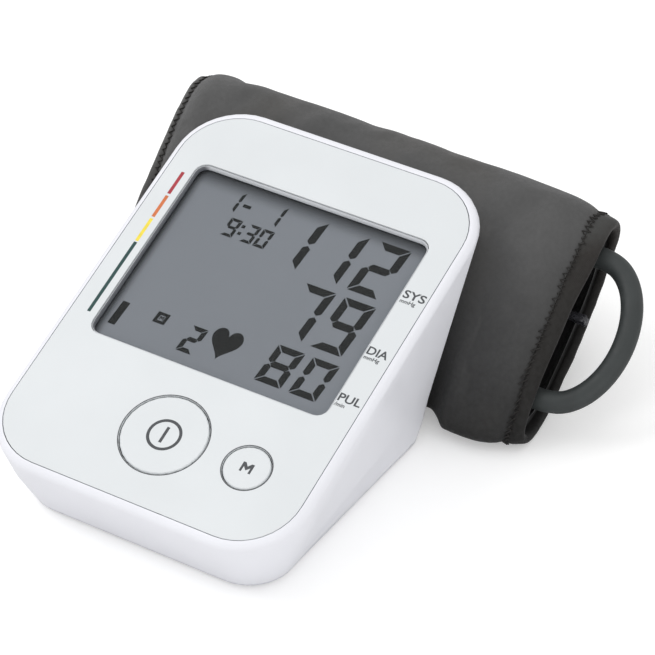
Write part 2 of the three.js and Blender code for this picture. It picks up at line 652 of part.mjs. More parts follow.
function buildCuffCover() {
  const stations = [];
  const steps = [0, 0.3, 0.58, 0.82, 1];
  for (const t of [...steps].reverse()) {
    stations.push([CUFF_X0 + CUFF_END * (1 - t), t ** 1.3]);
  }
  for (const x of [0, BESIDE[0], (BESIDE[0] + BESIDE[1]) / 2, BESIDE[1]]) {
    stations.push([x, 0]);
  }
  for (const t of steps) {
    stations.push([CUFF_X1 - CUFF_END * (1 - t), t ** 1.3]);
  }
  const body = loft(stations.map(([x, blend]) => cuffRing(x, blend)));
  const { low, high, front, back, r } = CHANNEL;
  const section = roundedOutline((high - low) / 2, (high - low) / 2, -back, front, r, r, 4);
  const shape = new THREE.Shape(section);
  const length = CUFF_X1 - CUFF_X0 + 10;
  const channel = new THREE.ExtrudeGeometry(shape, { depth: length, bevelEnabled: false });
  channel.rotateX(Math.PI / 2).rotateZ(Math.PI / 2);
  channel.translate(CUFF_X0 - 5, (low + high) / 2, 0);
  channel.rotateX(ROLL.slope).translate(0, ROLL.y, ROLL.z);
  return carve([body], [channel]);
}

function buildCuff() {
  add(monitor, 'cuff_cover', buildCuffCover(), mat.nylon);
  const { low, front, back } = CHANNEL;
  const sides = [low + 1.6, TUBE_S - TUBE_R - 1.6];
  const bladder = box(CUFF_X0 + 4, CUFF_X1 - 12, ...sides, front - 2.9, front - 0.9);
  add(roll, 'cuff_bladder', bladder, mat.silicone);
  const layers = box(CUFF_X0 + 1.5, CUFF_X1 - 12, ...sides, -back + 1.3, front - 3.2);
  add(roll, 'cuff_inner_layers', layers, mat.lining);
}

function buildAirTube() {
  const z = -0.5;
  const p = (x, s, lift = z) => new THREE.Vector3(x, s, lift);
  const x = CUFF_X1;
  const middle = (TUBE_S + PORT_S) / 2;
  const half = (TUBE_S - PORT_S) / 2;
  const loop = [];
  for (let k = 0; k <= 8; k += 1) {
    const a = -Math.PI / 2 + (k / 8) * Math.PI;
    loop.push(p(x + 1.5 + LOOP_REACH * Math.cos(a), middle + half * Math.sin(a)));
  }
  const path = [p(x - 5, PORT_S), ...loop, p(x - 8, TUBE_S), p(0, TUBE_S), p(CUFF_X0 + 12, TUBE_S)];
  add(roll, 'air_tube', tubing(path, TUBE_R, TUBE_BORE, 36, 5), mat.hose);

  const port = carve([
    rod(x - 11.4, x - 5.5, PORT_S, z, 4.4, 18), rod(x - 6, x - 1, PORT_S, z, 1.4, 10),
  ]);
  add(roll, 'cuff_port', port, mat.black);

  const plugX = CUFF_X0 + 11.7;
  const plug = carve([
    rod(plugX - 6, plugX, TUBE_S, z, 4.3, 20), rod(plugX - 1, plugX + 5, TUBE_S, z, 1.4, 10),
    rod(plugX - 13, plugX - 5, TUBE_S, z, 2.2, 16), rod(plugX - 10.5, plugX - 9, TUBE_S, z, 2.7, 16),
  ]);
  add(roll, 'air_plug', plug, mat.grey);

  const tab = box(x - 8, x + 2.5, 1.5, 5.5, -5.6, -4.8);
  add(roll, 'cuff_tag', tab, mat.lens);
}

// ---- assembly -------------------------------------------------------------------------------
add(monitor, 'top_housing', buildTopHousing(), mat.white);
add(monitor, 'bottom_shell', buildBottomShell(), mat.white);
add(monitor, 'battery_door', buildBatteryDoor(), mat.white);
buildFeetAndScrews();
buildDisplay();
buildButton(START);
buildButton(MEMORY);
buildBoardParts();
buildCells();
buildContacts();
buildPump();
buildValve();
buildAirLines();
buildSockets();
buildCuff();
buildAirTube();

const extent = new THREE.Box3().setFromObject(monitor);
const middle = extent.getCenter(new THREE.Vector3());
monitor.position.set(-middle.x, -middle.y, -extent.min.z);

export default monitor;
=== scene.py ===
"""Looks of the upper arm blood pressure monitor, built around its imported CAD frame.

Everything is in metres in the row frame. The panel has a frame of its own: x across, y up the slope
from the lower seam line and h out of the face, all in millimetres. The cuff is lofted from the CAD
cuff's own outline, wrinkled by a cloth simulation, and bound at both ends.
"""
import json
import math
import random

import bpy
import numpy as np
from mathutils import Matrix, Vector, noise
from mathutils.bvhtree import BVHTree


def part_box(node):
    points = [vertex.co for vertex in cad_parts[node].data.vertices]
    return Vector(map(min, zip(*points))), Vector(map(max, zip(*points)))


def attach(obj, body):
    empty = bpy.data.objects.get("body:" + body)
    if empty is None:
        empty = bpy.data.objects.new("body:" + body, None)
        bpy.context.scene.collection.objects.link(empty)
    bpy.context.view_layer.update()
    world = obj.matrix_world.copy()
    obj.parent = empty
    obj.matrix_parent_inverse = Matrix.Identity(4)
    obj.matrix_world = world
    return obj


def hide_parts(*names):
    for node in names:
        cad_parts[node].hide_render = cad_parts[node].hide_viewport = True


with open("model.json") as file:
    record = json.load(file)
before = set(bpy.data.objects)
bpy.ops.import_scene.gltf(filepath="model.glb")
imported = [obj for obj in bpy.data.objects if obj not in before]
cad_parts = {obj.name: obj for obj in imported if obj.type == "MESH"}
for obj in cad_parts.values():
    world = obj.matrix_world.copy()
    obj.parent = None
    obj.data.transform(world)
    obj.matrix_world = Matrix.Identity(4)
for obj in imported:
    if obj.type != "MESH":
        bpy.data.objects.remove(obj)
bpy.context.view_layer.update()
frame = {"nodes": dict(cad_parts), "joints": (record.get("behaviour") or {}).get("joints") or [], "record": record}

MM = 0.001
scene = bpy.context.scene
nodes = frame["nodes"]

# ---- camera, as in the photograph ----
VIEW_AZIMUTH = 30.11          # degrees to the right of straight on
VIEW_ELEVATION = 39.33
VIEW_DISTANCE = 0.989
VIEW_AIM = Vector((0.0072, 0.1132, 0.018))   # from the middle of the panel's lower seam, at the floor
LENS = 163.7
SENSOR = 36.0

# ---- studio light ----
WORLD_LIGHT = 0.86
SOFTBOXES = (                 # name, place and width in metres, watts
    ("key", (-0.85, -0.35, 1.05), 0.8, 5.0),
    ("top", (0.0, 0.1, 1.3), 1.2, 1.5),
    ("fill", (1.0, -0.75, 0.35), 0.9, 2.5),
)
FLOOR_HALF = 4.0
FLOOR_GLOW = 0.30             # glow of the floor, only as the camera sees it

# ---- panel prints and display, millimetres in the panel frame ----
PRINT_H = 0.03                # how far a print stands off the surface it is on
PRINT_SINK = 0.05             # how far it goes down into that surface
COLOUR_BAR = [                # colour, and where it starts and ends up the slope
    ("red", 107.4, 117.0), ("orange", 97.2, 106.5), ("yellow", 86.6, 96.4), ("green", 56.3, 86.1),
]
COLOUR_BAR_X = -46.7
COLOUR_BAR_W = 1.2
LABELS = [                    # text, x of its left end, baseline y, capital height, stretch
    ("SYS", 44.2, 100.5, 3.0, 1.22), ("mmHg", 44.3, 98.5, 1.35, 1.06),
    ("DIA", 43.8, 77.0, 2.9, 1.06), ("mmHg", 44.0, 75.0, 1.35, 1.06),
    ("PUL", 43.8, 58.1, 2.9, 1.14), ("/min", 44.0, 56.1, 1.35, 1.06),
]
WINDOW_LEFT = -43.7
WINDOW_TOP = 123.2
EDGE_SHADE = 0.16             # brightness of the painted shade on the display right at the window's top and left edges
SIDE_SHADE_W = 4.5            # widths over which it brightens
TOP_SHADE_W = 8.0
POWER_RING = (4.75, 5.75)     # inner and outer radius of the start symbol
POWER_BAR = (1.0, 6.0)        # its width and length
MEMORY_LETTER = (3.9, 3.5, 0.78)   # width, height and stroke
LABEL_WEIGHT = 0.026          # how much bolder than the font a label is, per unit of its height
CAPITAL_SHARE = 0.70          # height of a capital, as a share of the font's size
RING_W = 0.35                 # dark line printed round each button
RING_CLEAR = 0.02             # gap between that line and the hole
RING_COUNT = 96               # corners of that line

# ---- cuff ----
ROLL_SLOPE = math.radians(36.7)
ROLL_UP = Vector((0, math.cos(ROLL_SLOPE), math.sin(ROLL_SLOPE)))
ROLL_OUT = Vector((0, -math.sin(ROLL_SLOPE), math.cos(ROLL_SLOPE)))
RAYS = 240
RAY_START = 0.2               # rays start this far from the cuff's middle, in metres
END_GAP = 0.2 * MM            # the first and last stations lie this far inside the CAD cuff's ends
AROUND = 88                   # points round the cuff
STEP = 2.5 * MM               # spacing of the cuff's stations
END_STEPS = (0, 1.0, 2.2, 3.6, 5.2, 7.0, 9.0, 11.2)   # stations near an end, in millimetres from it
BESIDE_STEP = 0.8 * MM        # closer stations where the cuff swells past the casing's right side
BESIDE_COUNT = 8
SMOOTH_ROUNDS = 3
CLOTH = {                     # stiff sheet, a little too large for its shape, filled by a low pressure
    "quality": 6, "mass": 0.15, "tension_stiffness": 12, "compression_stiffness": 12, "shear_stiffness": 4,
    "bending_stiffness": 0.6, "use_pressure": True, "uniform_pressure_force": 3.0, "shrink_min": -0.035,
}
CLOTH_FRAMES = 24
OUT_SHARE = 0.3               # share of the cloth's outward movement that is kept
OUT_LIMITS = (-2.0 * MM, 0.9 * MM)
SIDEWAYS_LIMIT = 1.5 * MM
LOWEST = 0.6 * MM             # the cloth stays this far off the table
SHEET_T = 2.3 * MM            # thickness of the padded outer layer
BLADDER_INSET = 12 * MM       # the air bag stays this far inside its CAD length at both ends
HEM_RIGHT = 6.5 * MM          # widths of the two bindings
HEM_LEFT = 7.5 * MM
ENDS = (("right", True, HEM_RIGHT), ("left", False, HEM_LEFT))
CREASE_DEPTH = 0.75 * MM      # the stitching draws the cloth in by this much
CREASE_PLACE = 0.6 * MM       # this far past the binding
CREASE_WIDTH = 1.4 * MM
THREAD_R = 0.3 * MM
THREAD_SIDES = 6
THREAD_CROSS = Vector((0.3, 0.5, 0.81))   # a direction that the thread never runs along
CURL_HEIGHTS = (36 * MM, 50 * MM)   # the right binding curls over between these heights
CURL_WIDTH = 3.5              # over this width from the edge, in millimetres
RIGHT_CURL = 1.2              # by this much, in millimetres
PUCKERS = 0.5                 # unevenness of the bindings' height
BINDING_WEAVE = 2.4 * MM      # length of weave between two points round a binding
STITCH_JITTER = 1.1           # unevenness of the zigzag, in millimetres
ROLL_TURNS = 1.22             # turns of the ribbon seen inside the roll
ROLL_STEPS = 100
CORE_UP = (-0.024, 0.019)     # how far the roll's flat core reaches down and up the slope, in metres
RIBBON_INSET = 3.0 * MM
RIBBON_SHRINK = 0.26          # share of its size that the roll loses in one turn
RIBBON_T = 0.20               # thickness of the ribbon, as a share of that size
CREST_HIGHLIGHT_HEIGHTS = (52 * MM, 57 * MM)   # painted highlight: the right binding pales between these heights
PAINTED_SHADE_HEIGHT = 56 * MM         # painted shade darkens the cloth below this height
PAINTED_SHADE_SHARE = 0.12             # to this share of its colour at the table


# ---- panel frame ----
press = next(j for j in frame["joints"] if j["name"] == "start_button_press")
PANEL_OUT = -Vector(press["axis"]).normalized()
PANEL_X = Vector((1, 0, 0))
PANEL_Y = PANEL_OUT.cross(PANEL_X)


def span(node, axis):
    values = [v.co.dot(axis) for v in nodes[node].data.vertices]
    return min(values), max(values)


panel_x = span("face_panel", PANEL_X)
panel_origin = (
    PANEL_X * (sum(panel_x) / 2)
    + PANEL_Y * span("face_panel", PANEL_Y)[0]
    + PANEL_OUT * span("face_panel", PANEL_OUT)[1]
)
panel_turn = Matrix((PANEL_X, PANEL_Y, PANEL_OUT)).transposed().to_4x4()
panel_mm = Matrix.Translation(panel_origin) @ panel_turn @ Matrix.Scale(MM, 4)
display_h = (span("lcd_cell", PANEL_OUT)[1] - panel_origin.dot(PANEL_OUT)) / MM


# ---- air tube and tag ----
TUBE_R = 3.7 * MM
TUBE_BORE = 2.0 * MM
TUBE_SIDES = 28
LOOP_START = 1.5 * MM         # the loop begins this far outside the cuff
LOOP_POINTS = 9
PORT_DEPTH = 5 * MM           # the tube starts this far inside the cuff
RETURN_DEPTH = 8 * MM         # and is straight again this far inside it
TAG_SHARE = 0.55              # width of the tag, as a share of its CAD box
TAG_LENGTH = 9 * MM
TAG_FOLD = (1.8 * MM, 1.3 * MM)     # how far the fold stands out, and half its height
TAG_BACK = 1.5 * MM
TAG_WAVE = 0.5 * MM
TAG_HALF_T = 0.12 * MM
TAG_POINTS = 14


# ---- small node-tree helpers ----
class Finish:
    """A Principled material with the few procedural building blocks this scene uses."""

    def __init__(self, name, color, roughness, metallic=0.0, specular=0.5):
        self.material = bpy.data.materials.new(name)
        self.material.use_nodes = True
        self.tree = self.material.node_tree
        self.shader = next(n for n in self.tree.nodes if n.type == "BSDF_PRINCIPLED")
        self.output = next(n for n in self.tree.nodes if n.type == "OUTPUT_MATERIAL")
        self.color = (*color, 1.0)
        self.shader.inputs["Base Color"].default_value = self.color
        self.shader.inputs["Roughness"].default_value = roughness
        self.shader.inputs["Metallic"].default_value = metallic
        self.shader.inputs["Specular IOR Level"].default_value = specular
        self.coordinates = self.add("ShaderNodeTexCoord").outputs["Object"]

    def add(self, kind):
        return self.tree.nodes.new(kind)

    def link(self, a, b):
        self.tree.links.new(a, b)

    def noise(self, size, detail=3.0, vector=None):
        """Noise whose features are about size metres across."""
        node = self.add("ShaderNodeTexNoise")
        node.inputs["Scale"].default_value = 1.0 / size
        node.inputs["Detail"].default_value = detail
        self.link(vector or self.coordinates, node.inputs["Vector"])
        return node.outputs["Fac"]

    def remap(self, value, low, high, start=0.3, end=0.7):
        node = self.add("ShaderNodeMapRange")
        node.inputs["From Min"].default_value = start
        node.inputs["From Max"].default_value = end
        node.inputs["To Min"].default_value = low
        node.inputs["To Max"].default_value = high
        self.link(value, node.inputs["Value"])
        return node.outputs["Result"]

    def soft_remap(self, value, low, high, start, end):
        result = self.remap(value, low, high, start, end)
        result.node.interpolation_type = "SMOOTHSTEP"
        return result

    def blend(self, factor, color_a, color_b):
        node = self.add("ShaderNodeMix")
        node.data_type = "RGBA"
        self.link(factor, node.inputs[0])
        for index, color in ((6, color_a), (7, color_b)):
            if isinstance(color, tuple):
                node.inputs[index].default_value = (*color[:3], 1.0)
            else:
                self.link(color, node.inputs[index])
        return node.outputs[2]

    def tint(self, factor, share):
        """Base colour varied by +-share, following factor."""
        dark = tuple(c * (1 - share) for c in self.color[:3])
        light = tuple(min(1.0, c * (1 + share)) for c in self.color[:3])
        color = self.blend(self.remap(factor, 0, 1), dark, light)
        self.link(color, self.shader.inputs["Base Color"])
        return color

    def roughen(self, factor, low, high):
        self.link(self.remap(factor, low, high), self.shader.inputs["Roughness"])

    def bump(self, height, distance, strength=1.0, previous=None):
        node = self.add("ShaderNodeBump")
        node.inputs["Distance"].default_value = distance
        node.inputs["Strength"].default_value = strength
        self.link(height, node.inputs["Height"])
        if previous is not None:
            self.link(previous, node.inputs["Normal"])
        self.link(node.outputs["Normal"], self.shader.inputs["Normal"])
        return node.outputs["Normal"]

    def painted_low_shade(self, color):
        """Painted shade: the colour, darker towards the table, where the cloth turns under and away from the
        light.
        """
        share = self.remap(self.height(), PAINTED_SHADE_SHARE, 1.0, 0.0, PAINTED_SHADE_HEIGHT)
        return self.blend(share, (0.0, 0.0, 0.0), color)

    def height(self):
        split = self.add("ShaderNodeSeparateXYZ")
        self.link(self.coordinates, split.inputs[0])
        return split.outputs["Z"]

    def along(self, vector, axis):
        """Component of a vector along a direction."""
        node = self.add("ShaderNodeVectorMath")
        node.operation = "DOT_PRODUCT"
        self.link(vector, node.inputs[0])
        node.inputs[1].default_value = axis
        return node.outputs["Value"]

    def math(self, operation, a, b=None):
        node = self.add("ShaderNodeMath")
        node.operation = operation
        for socket, value in zip(node.inputs, (a, b)):
            if value is None:
                continue
            if isinstance(value, (int, float)):
                socket.default_value = value
            else:
                self.link(value, socket)
        return node.outputs["Value"]


def moulded(name, color, roughness, peel=0.006, share=0.02, coat=0.0):
    """Injection-moulded plastic: slight colour drift, orange peel and uneven gloss."""
    f = Finish(name, color, roughness)
    f.tint(f.noise(0.03, 2), share)
    f.roughen(f.noise(0.008, 4), roughness - 0.05, roughness + 0.07)
    f.bump(f.noise(0.0011, 3), peel * MM)
    f.shader.inputs["Coat Weight"].default_value = coat
    f.shader.inputs["Coat Roughness"].default_value = 0.12
    return f.material


def rubbery(name, color, roughness, grain=0.02):
    f = Finish(name, color, roughness, specular=0.4)
    f.tint(f.noise(0.006, 4), 0.12)
    f.roughen(f.noise(0.003, 4), roughness - 0.08, roughness + 0.1)
    f.bump(f.noise(0.0006, 2), grain * MM)
    return f.material


def metal(name, color, roughness, brush=0.0):
    f = Finish(name, color, roughness, metallic=1.0)
    f.roughen(f.noise(0.002, 5), roughness - 0.08, roughness + 0.12)
    stretch = f.add("ShaderNodeMapping")
    stretch.inputs["Scale"].default_value = (1.0, 14.0, 14.0)
    f.link(f.coordinates, stretch.inputs["Vector"])
    f.bump(f.noise(0.004, 3, stretch.outputs["Vector"]), max(brush, 0.004) * MM)
    f.tint(f.noise(0.01, 3), 0.06)
    return f.material


def clear_lens():
    """Clear plastic cover: see-through, with a faint reflection that grows at a grazing angle."""
    f = Finish("clear_lens_polished", (0.9, 0.92, 0.94), 0.06)
    through = f.add("ShaderNodeBsdfTransparent")
    through.inputs["Color"].default_value = (0.97, 0.975, 0.985, 1)
    facing = f.add("ShaderNodeFresnel")
    facing.inputs["IOR"].default_value = 1.16
    gloss = f.add("ShaderNodeBsdfGlossy")
    f.link(f.remap(f.noise(0.02, 3), 0.10, 0.12), gloss.inputs["Roughness"])
    inside = f.add("ShaderNodeNewGeometry").outputs["Backfacing"]
    shine = f.math("MULTIPLY", facing.outputs["Fac"], f.math("SUBTRACT", 1.0, inside))
    mix = f.add("ShaderNodeMixShader")
    f.link(shine, mix.inputs[0])
    f.link(through.outputs[0], mix.inputs[1])
    f.link(gloss.outputs[0], mix.inputs[2])
    f.link(mix.outputs[0], f.output.inputs["Surface"])
    return f.material


def display_film():
    """Display glass, with painted shade that darkens it softly under the window's top and left edges, where it
    would be in shadow.
    """
    f = Finish("display_film", (0.203, 0.215, 0.228), 0.6, specular=0.2)
    film = f.tint(f.noise(0.06, 1), 0.02)
    left = panel_origin.dot(PANEL_X) + WINDOW_LEFT * MM
    top = panel_origin.dot(PANEL_Y) + WINDOW_TOP * MM
    # painted shade: the film's colour darkens towards the window's left and top edges
    across = f.soft_remap(f.along(f.coordinates, PANEL_X), EDGE_SHADE, 1.0, left, left + SIDE_SHADE_W * MM)
    down = f.soft_remap(f.along(f.coordinates, PANEL_Y), EDGE_SHADE, 1.0, top, top - TOP_SHADE_W * MM)
    painted_shade_film = f.blend(f.math("MULTIPLY", across, down), (0.0, 0.0, 0.0), film)
    f.link(painted_shade_film, f.shader.inputs["Base Color"])
    f.roughen(f.noise(0.01, 2), 0.55, 0.65)
    f.bump(f.noise(0.0005, 1), 0.0005 * MM)
    return f.material


def bezel_plastic():
    """Pale window surround, with painted shade making its left inner wall dark, as that wall faces away from the
    light.
    """
    f = Finish("bezel_pale_moulded", (0.60, 0.615, 0.64), 0.4)
    pale = f.tint(f.noise(0.03, 2), 0.02)
    normal = f.add("ShaderNodeNewGeometry").outputs["Normal"]
    # painted shade: faces turned towards +x, the left inner wall, blend to a dark grey
    turned = f.remap(f.along(normal, PANEL_X), 0.0, 1.0, 0.1, 0.5)
    f.link(f.blend(turned, pale, (0.13, 0.135, 0.15)), f.shader.inputs["Base Color"])
    f.roughen(f.noise(0.008, 4), 0.35, 0.47)
    f.bump(f.noise(0.0011, 3), 0.006 * MM)
    return f.material


def board_mask():
    f = Finish("board_mask", (0.02, 0.13, 0.06), 0.35)
    tracks = f.add("ShaderNodeTexBrick")
    tracks.inputs["Scale"].default_value = 160
    tracks.inputs["Mortar Size"].default_value = 0.04
    f.link(f.coordinates, tracks.inputs["Vector"])
    color = f.blend(tracks.outputs["Fac"], (0.02, 0.13, 0.06), (0.04, 0.2, 0.09))
    f.link(color, f.shader.inputs["Base Color"])
    f.bump(tracks.outputs["Fac"], 0.03 * MM)
    return f.material


def cell_jacket():
    """Printed battery jacket: dark body with a paler band near one end."""
    f = Finish("cell_jacket_film", (0.02, 0.06, 0.16), 0.3)
    split = f.add("ShaderNodeSeparateXYZ")
    f.link(f.coordinates, split.inputs[0])
    band = f.math("GREATER_THAN", split.outputs["Y"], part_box("battery_aa_1")[1].y - 0.016)
    f.link(f.blend(band, (0.02, 0.06, 0.16), (0.55, 0.36, 0.1)), f.shader.inputs["Base Color"])
    f.roughen(f.noise(0.004, 3), 0.22, 0.4)
    f.bump(f.noise(0.002, 2), 0.01 * MM)
    return f.material


def nylon(name, color, thread=0.00042, warm=(0.07, 0.062, 0.05), crest_highlight=None):
    """Woven nylon: two crossed thread directions on the piece's own UVs, mottled and slightly sheened.

    A crest highlight is a painted highlight: the colour the cloth pales to at the top of the roll's end.
    """
    f = Finish(name, color, 0.72, specular=0.35)
    uv = f.add("ShaderNodeTexCoord").outputs["UV"]
    split = f.add("ShaderNodeSeparateXYZ")
    f.link(uv, split.inputs[0])
    turn = 2 * math.pi / thread
    warp = f.math("SINE", f.math("MULTIPLY", split.outputs["X"], turn))
    weft = f.math("SINE", f.math("MULTIPLY", split.outputs["Y"], turn))
    weave = f.math("MULTIPLY", warp, weft)
    mottle = f.noise(0.022, 5)
    fibre = f.noise(0.0016, 4)
    base = f.tint(mottle, 0.10)
    warmed = f.blend(f.remap(f.noise(0.035, 2), 0.0, 0.45, 0.45, 0.75), base, warm)
    # painted highlight: the cloth pales to the crest colour near the top of the roll's end
    if crest_highlight is not None:
        warmed = f.blend(f.remap(f.height(), 0.0, 1.0, *CREST_HIGHLIGHT_HEIGHTS), warmed, crest_highlight)
    shade = f.math("MULTIPLY_ADD", weave, 0.10)
    shade.node.inputs[2].default_value = 0.5
    threads = f.blend(shade, (0.75, 0.75, 0.75), (1.25, 1.25, 1.25))
    product = f.add("ShaderNodeMix")
    product.data_type = "RGBA"
    product.blend_type = "MULTIPLY"
    product.inputs[0].default_value = 1.0
    f.link(warmed, product.inputs[6])
    f.link(threads, product.inputs[7])
    # painted shade: every nylon's colour darkens towards the table
    f.link(f.painted_low_shade(product.outputs[2]), f.shader.inputs["Base Color"])
    f.roughen(fibre, 0.62, 0.82)
    first = f.bump(weave, 0.035 * MM, 0.8)
    f.bump(fibre, 0.12 * MM, 0.8, first)
    f.shader.inputs["Sheen Weight"].default_value = 0.12
    f.shader.inputs["Sheen Roughness"].default_value = 0.4
    f.shader.inputs["Sheen Tint"].default_value = (0.8, 0.8, 0.82, 1)
    return f.material


def ink(name, color, roughness=0.45):
    f = Finish(name, color, roughness)
    f.tint(f.noise(0.002, 3), 0.10)
    f.bump(f.noise(0.0004, 2), 0.002 * MM)
    return f.material


def tag_film():
    f = Finish("tag_film_shiny", (0.07, 0.07, 0.08), 0.1, specular=1.0)
    f.shader.inputs["Transmission Weight"].default_value = 0.4
    f.tint(f.noise(0.002, 3), 0.2)
    f.roughen(f.noise(0.001, 3), 0.08, 0.3)
    f.bump(f.noise(0.0015, 3), 0.2 * MM)
    return f.material


def floor_finish():
    """Plain pale floor, lit a little from below like a light table so that shadows stay faint."""
    f = Finish("studio_floor", (0.80, 0.80, 0.80), 0.6, specular=0.1)
    f.tint(f.noise(0.4, 2), 0.004)
    f.bump(f.noise(0.004, 2), 0.005 * MM)
    f.shader.inputs["Emission Color"].default_value = (1, 1, 1, 1)
    seen = f.add("ShaderNodeLightPath").outputs["Is Camera Ray"]
    f.link(f.math("MULTIPLY", seen, FLOOR_GLOW), f.shader.inputs["Emission Strength"])
    return f.material


finishes = {
    "case_white": moulded("case_white_moulded", (0.80, 0.805, 0.85), 0.4, coat=0.1),
    "panel_white": moulded("panel_white_moulded", (0.665, 0.69, 0.705), 0.42, peel=0.004, coat=0.05),
    "bezel_grey": bezel_plastic(),
    "clear_lens": clear_lens(),
    "display_grey": display_film(),
    "silicone": rubbery("silicone_milky", (0.62, 0.60, 0.55), 0.5),
    "board_green": board_mask(),
    "black_plastic": moulded("black_plastic_fine", (0.016, 0.016, 0.018), 0.5, peel=0.02, share=0.15),
    "grey_plastic": moulded("grey_plastic_fine", (0.07, 0.074, 0.08), 0.45, peel=0.015, share=0.1),
    "steel": metal("steel_plated", (0.55, 0.56, 0.57), 0.32, brush=0.02),
    "contact_metal": metal("contact_nickel", (0.66, 0.65, 0.62), 0.25),
    "brass": metal("brass_turned", (0.6, 0.42, 0.16), 0.3, brush=0.01),
    "cell_jacket": cell_jacket(),
    "foot_rubber": rubbery("foot_rubber_matt", (0.02, 0.02, 0.022), 0.8),
    "cuff_nylon": nylon("cuff_nylon_woven", (0.076, 0.076, 0.076), warm=(0.074, 0.067, 0.058)),
    "cuff_lining": nylon("cuff_lining_brushed", (0.012, 0.012, 0.012), warm=(0.016, 0.014, 0.012)),
    "tube_rubber": rubbery("tube_rubber_satin", (0.032, 0.037, 0.037), 0.55),
    "tag_clear": tag_film(),
}
binding_finish = nylon("binding_tape", (0.021, 0.019, 0.017), thread=0.0007, warm=(0.026, 0.017, 0.014),
                       crest_highlight=(0.046, 0.046, 0.044))
edging_finish = nylon("edging_tape", (0.052, 0.051, 0.050), thread=0.0007, warm=(0.050, 0.045, 0.040))
thread_finish = ink("sewing_thread", (0.02, 0.018, 0.016), 0.8)
label_finish = ink("label_grey", (0.05, 0.054, 0.06))
segment_finish = ink("segment_black", (0.002, 0.003, 0.002), 0.8)
bar_finishes = {
    "red": ink("bar_red", (0.36, 0.02, 0.035)),
    "orange": ink("bar_orange", (0.58, 0.15, 0.04)),
    "yellow": ink("bar_yellow", (0.82, 0.66, 0.06)),
    "green": ink("bar_green", (0.004, 0.045, 0.042)),
}


# ---- CAD nodes: smooth shading between true edges, and their finishes ----
def smoothing_group(limit):
    """Geometry nodes that weld a faceted CAD mesh and keep edges sharper than the limit."""
    group = bpy.data.node_groups.new("weld_and_smooth", "GeometryNodeTree")
    group.interface.new_socket("Geometry", in_out="INPUT", socket_type="NodeSocketGeometry")
    group.interface.new_socket("Geometry", in_out="OUTPUT", socket_type="NodeSocketGeometry")
    start = group.nodes.new("NodeGroupInput")
    end = group.nodes.new("NodeGroupOutput")
    weld = group.nodes.new("GeometryNodeMergeByDistance")
    weld.inputs["Distance"].default_value = 2e-6
    smooth = group.nodes.new("GeometryNodeSetShadeSmooth")
    angle = group.nodes.new("GeometryNodeInputMeshEdgeAngle")
    sharp = group.nodes.new("FunctionNodeCompare")
    sharp.data_type = "FLOAT"
    sharp.operation = "GREATER_THAN"
    sharp.inputs[1].default_value = limit
    edges = group.nodes.new("GeometryNodeSetShadeSmooth")
    edges.domain = "EDGE"
    edges.inputs["Shade Smooth"].default_value = False
    links = group.links
    links.new(start.outputs[0], weld.inputs["Geometry"])
    links.new(weld.outputs[0], smooth.inputs["Geometry"])
    links.new(smooth.outputs[0], edges.inputs["Geometry"])
    links.new(angle.outputs["Unsigned Angle"], sharp.inputs[0])
    links.new(sharp.outputs[0], edges.inputs["Selection"])
    links.new(edges.outputs[0], end.inputs[0])
    return group


def dress_cad_nodes():
    group = smoothing_group(math.radians(32))
    slots = {s["node"]: s["material_slot"] for s in frame["record"]["subparts"]}
    for name, obj in nodes.items():
        mesh = obj.data
        if "custom_normal" in mesh.attributes:
            mesh.attributes.remove(mesh.attributes["custom_normal"])
        obj.modifiers.new("weld_and_smooth", "NODES").node_group = group
        if not obj.material_slots:
            mesh.materials.append(None)
        obj.material_slots[0].material = finishes[slots[name]]


dress_cad_nodes()


# ---- mesh helpers ----
def new_piece(name, vertices, faces, finish, body, smooth=True, parent_matrix=None):
    mesh = bpy.data.meshes.new(name)
    mesh.from_pydata([tuple(v) for v in vertices], [], faces)
    mesh.validate()
    mesh.update()
    mesh.materials.append(finish)
    mesh.polygons.foreach_set("use_smooth", [smooth] * len(mesh.polygons))
    obj = bpy.data.objects.new(name, mesh)
    scene.collection.objects.link(obj)
    if parent_matrix is not None:
        mesh.transform(parent_matrix)
    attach(obj, body)
    return obj


def grid_faces(rows, columns, wrap_rows=False):
    """Quads between rows of points, each row a closed ring; wrap_rows closes the last row to the first."""
    faces = []
    for i in range(rows if wrap_rows else rows - 1):
        for k in range(columns):
            a = i * columns + k
            b = i * columns + (k + 1) % columns
            c = ((i + 1) % rows) * columns + (k + 1) % columns
            d = ((i + 1) % rows) * columns + k
            faces.append((a, b, c, d))
    return faces


def capped_faces(rows, columns):
    """Quads between closed rings of points, and a face over each end."""
    last = (rows - 1) * columns
    caps = [tuple(reversed(range(columns))), tuple(range(last, last + columns))]
    return grid_faces(rows, columns) + caps


def swept_rings(line, closed, cross, radii, sides):
    """Circles of each radius round every point of a line, square to it."""
    count = len(line)
    vertices = []
    for k, p in enumerate(line):
        before, after = (k - 1, (k + 1) % count) if closed else (max(k - 1, 0), min(k + 1, count - 1))
        ahead = (line[after] - line[before]).normalized()
        side = ahead.cross(cross).normalized()
        up = side.cross(ahead)
        for r in radii:
            vertices += [p + side * x + up * y for x, y in circle(0, 0, r, sides)]
    return vertices


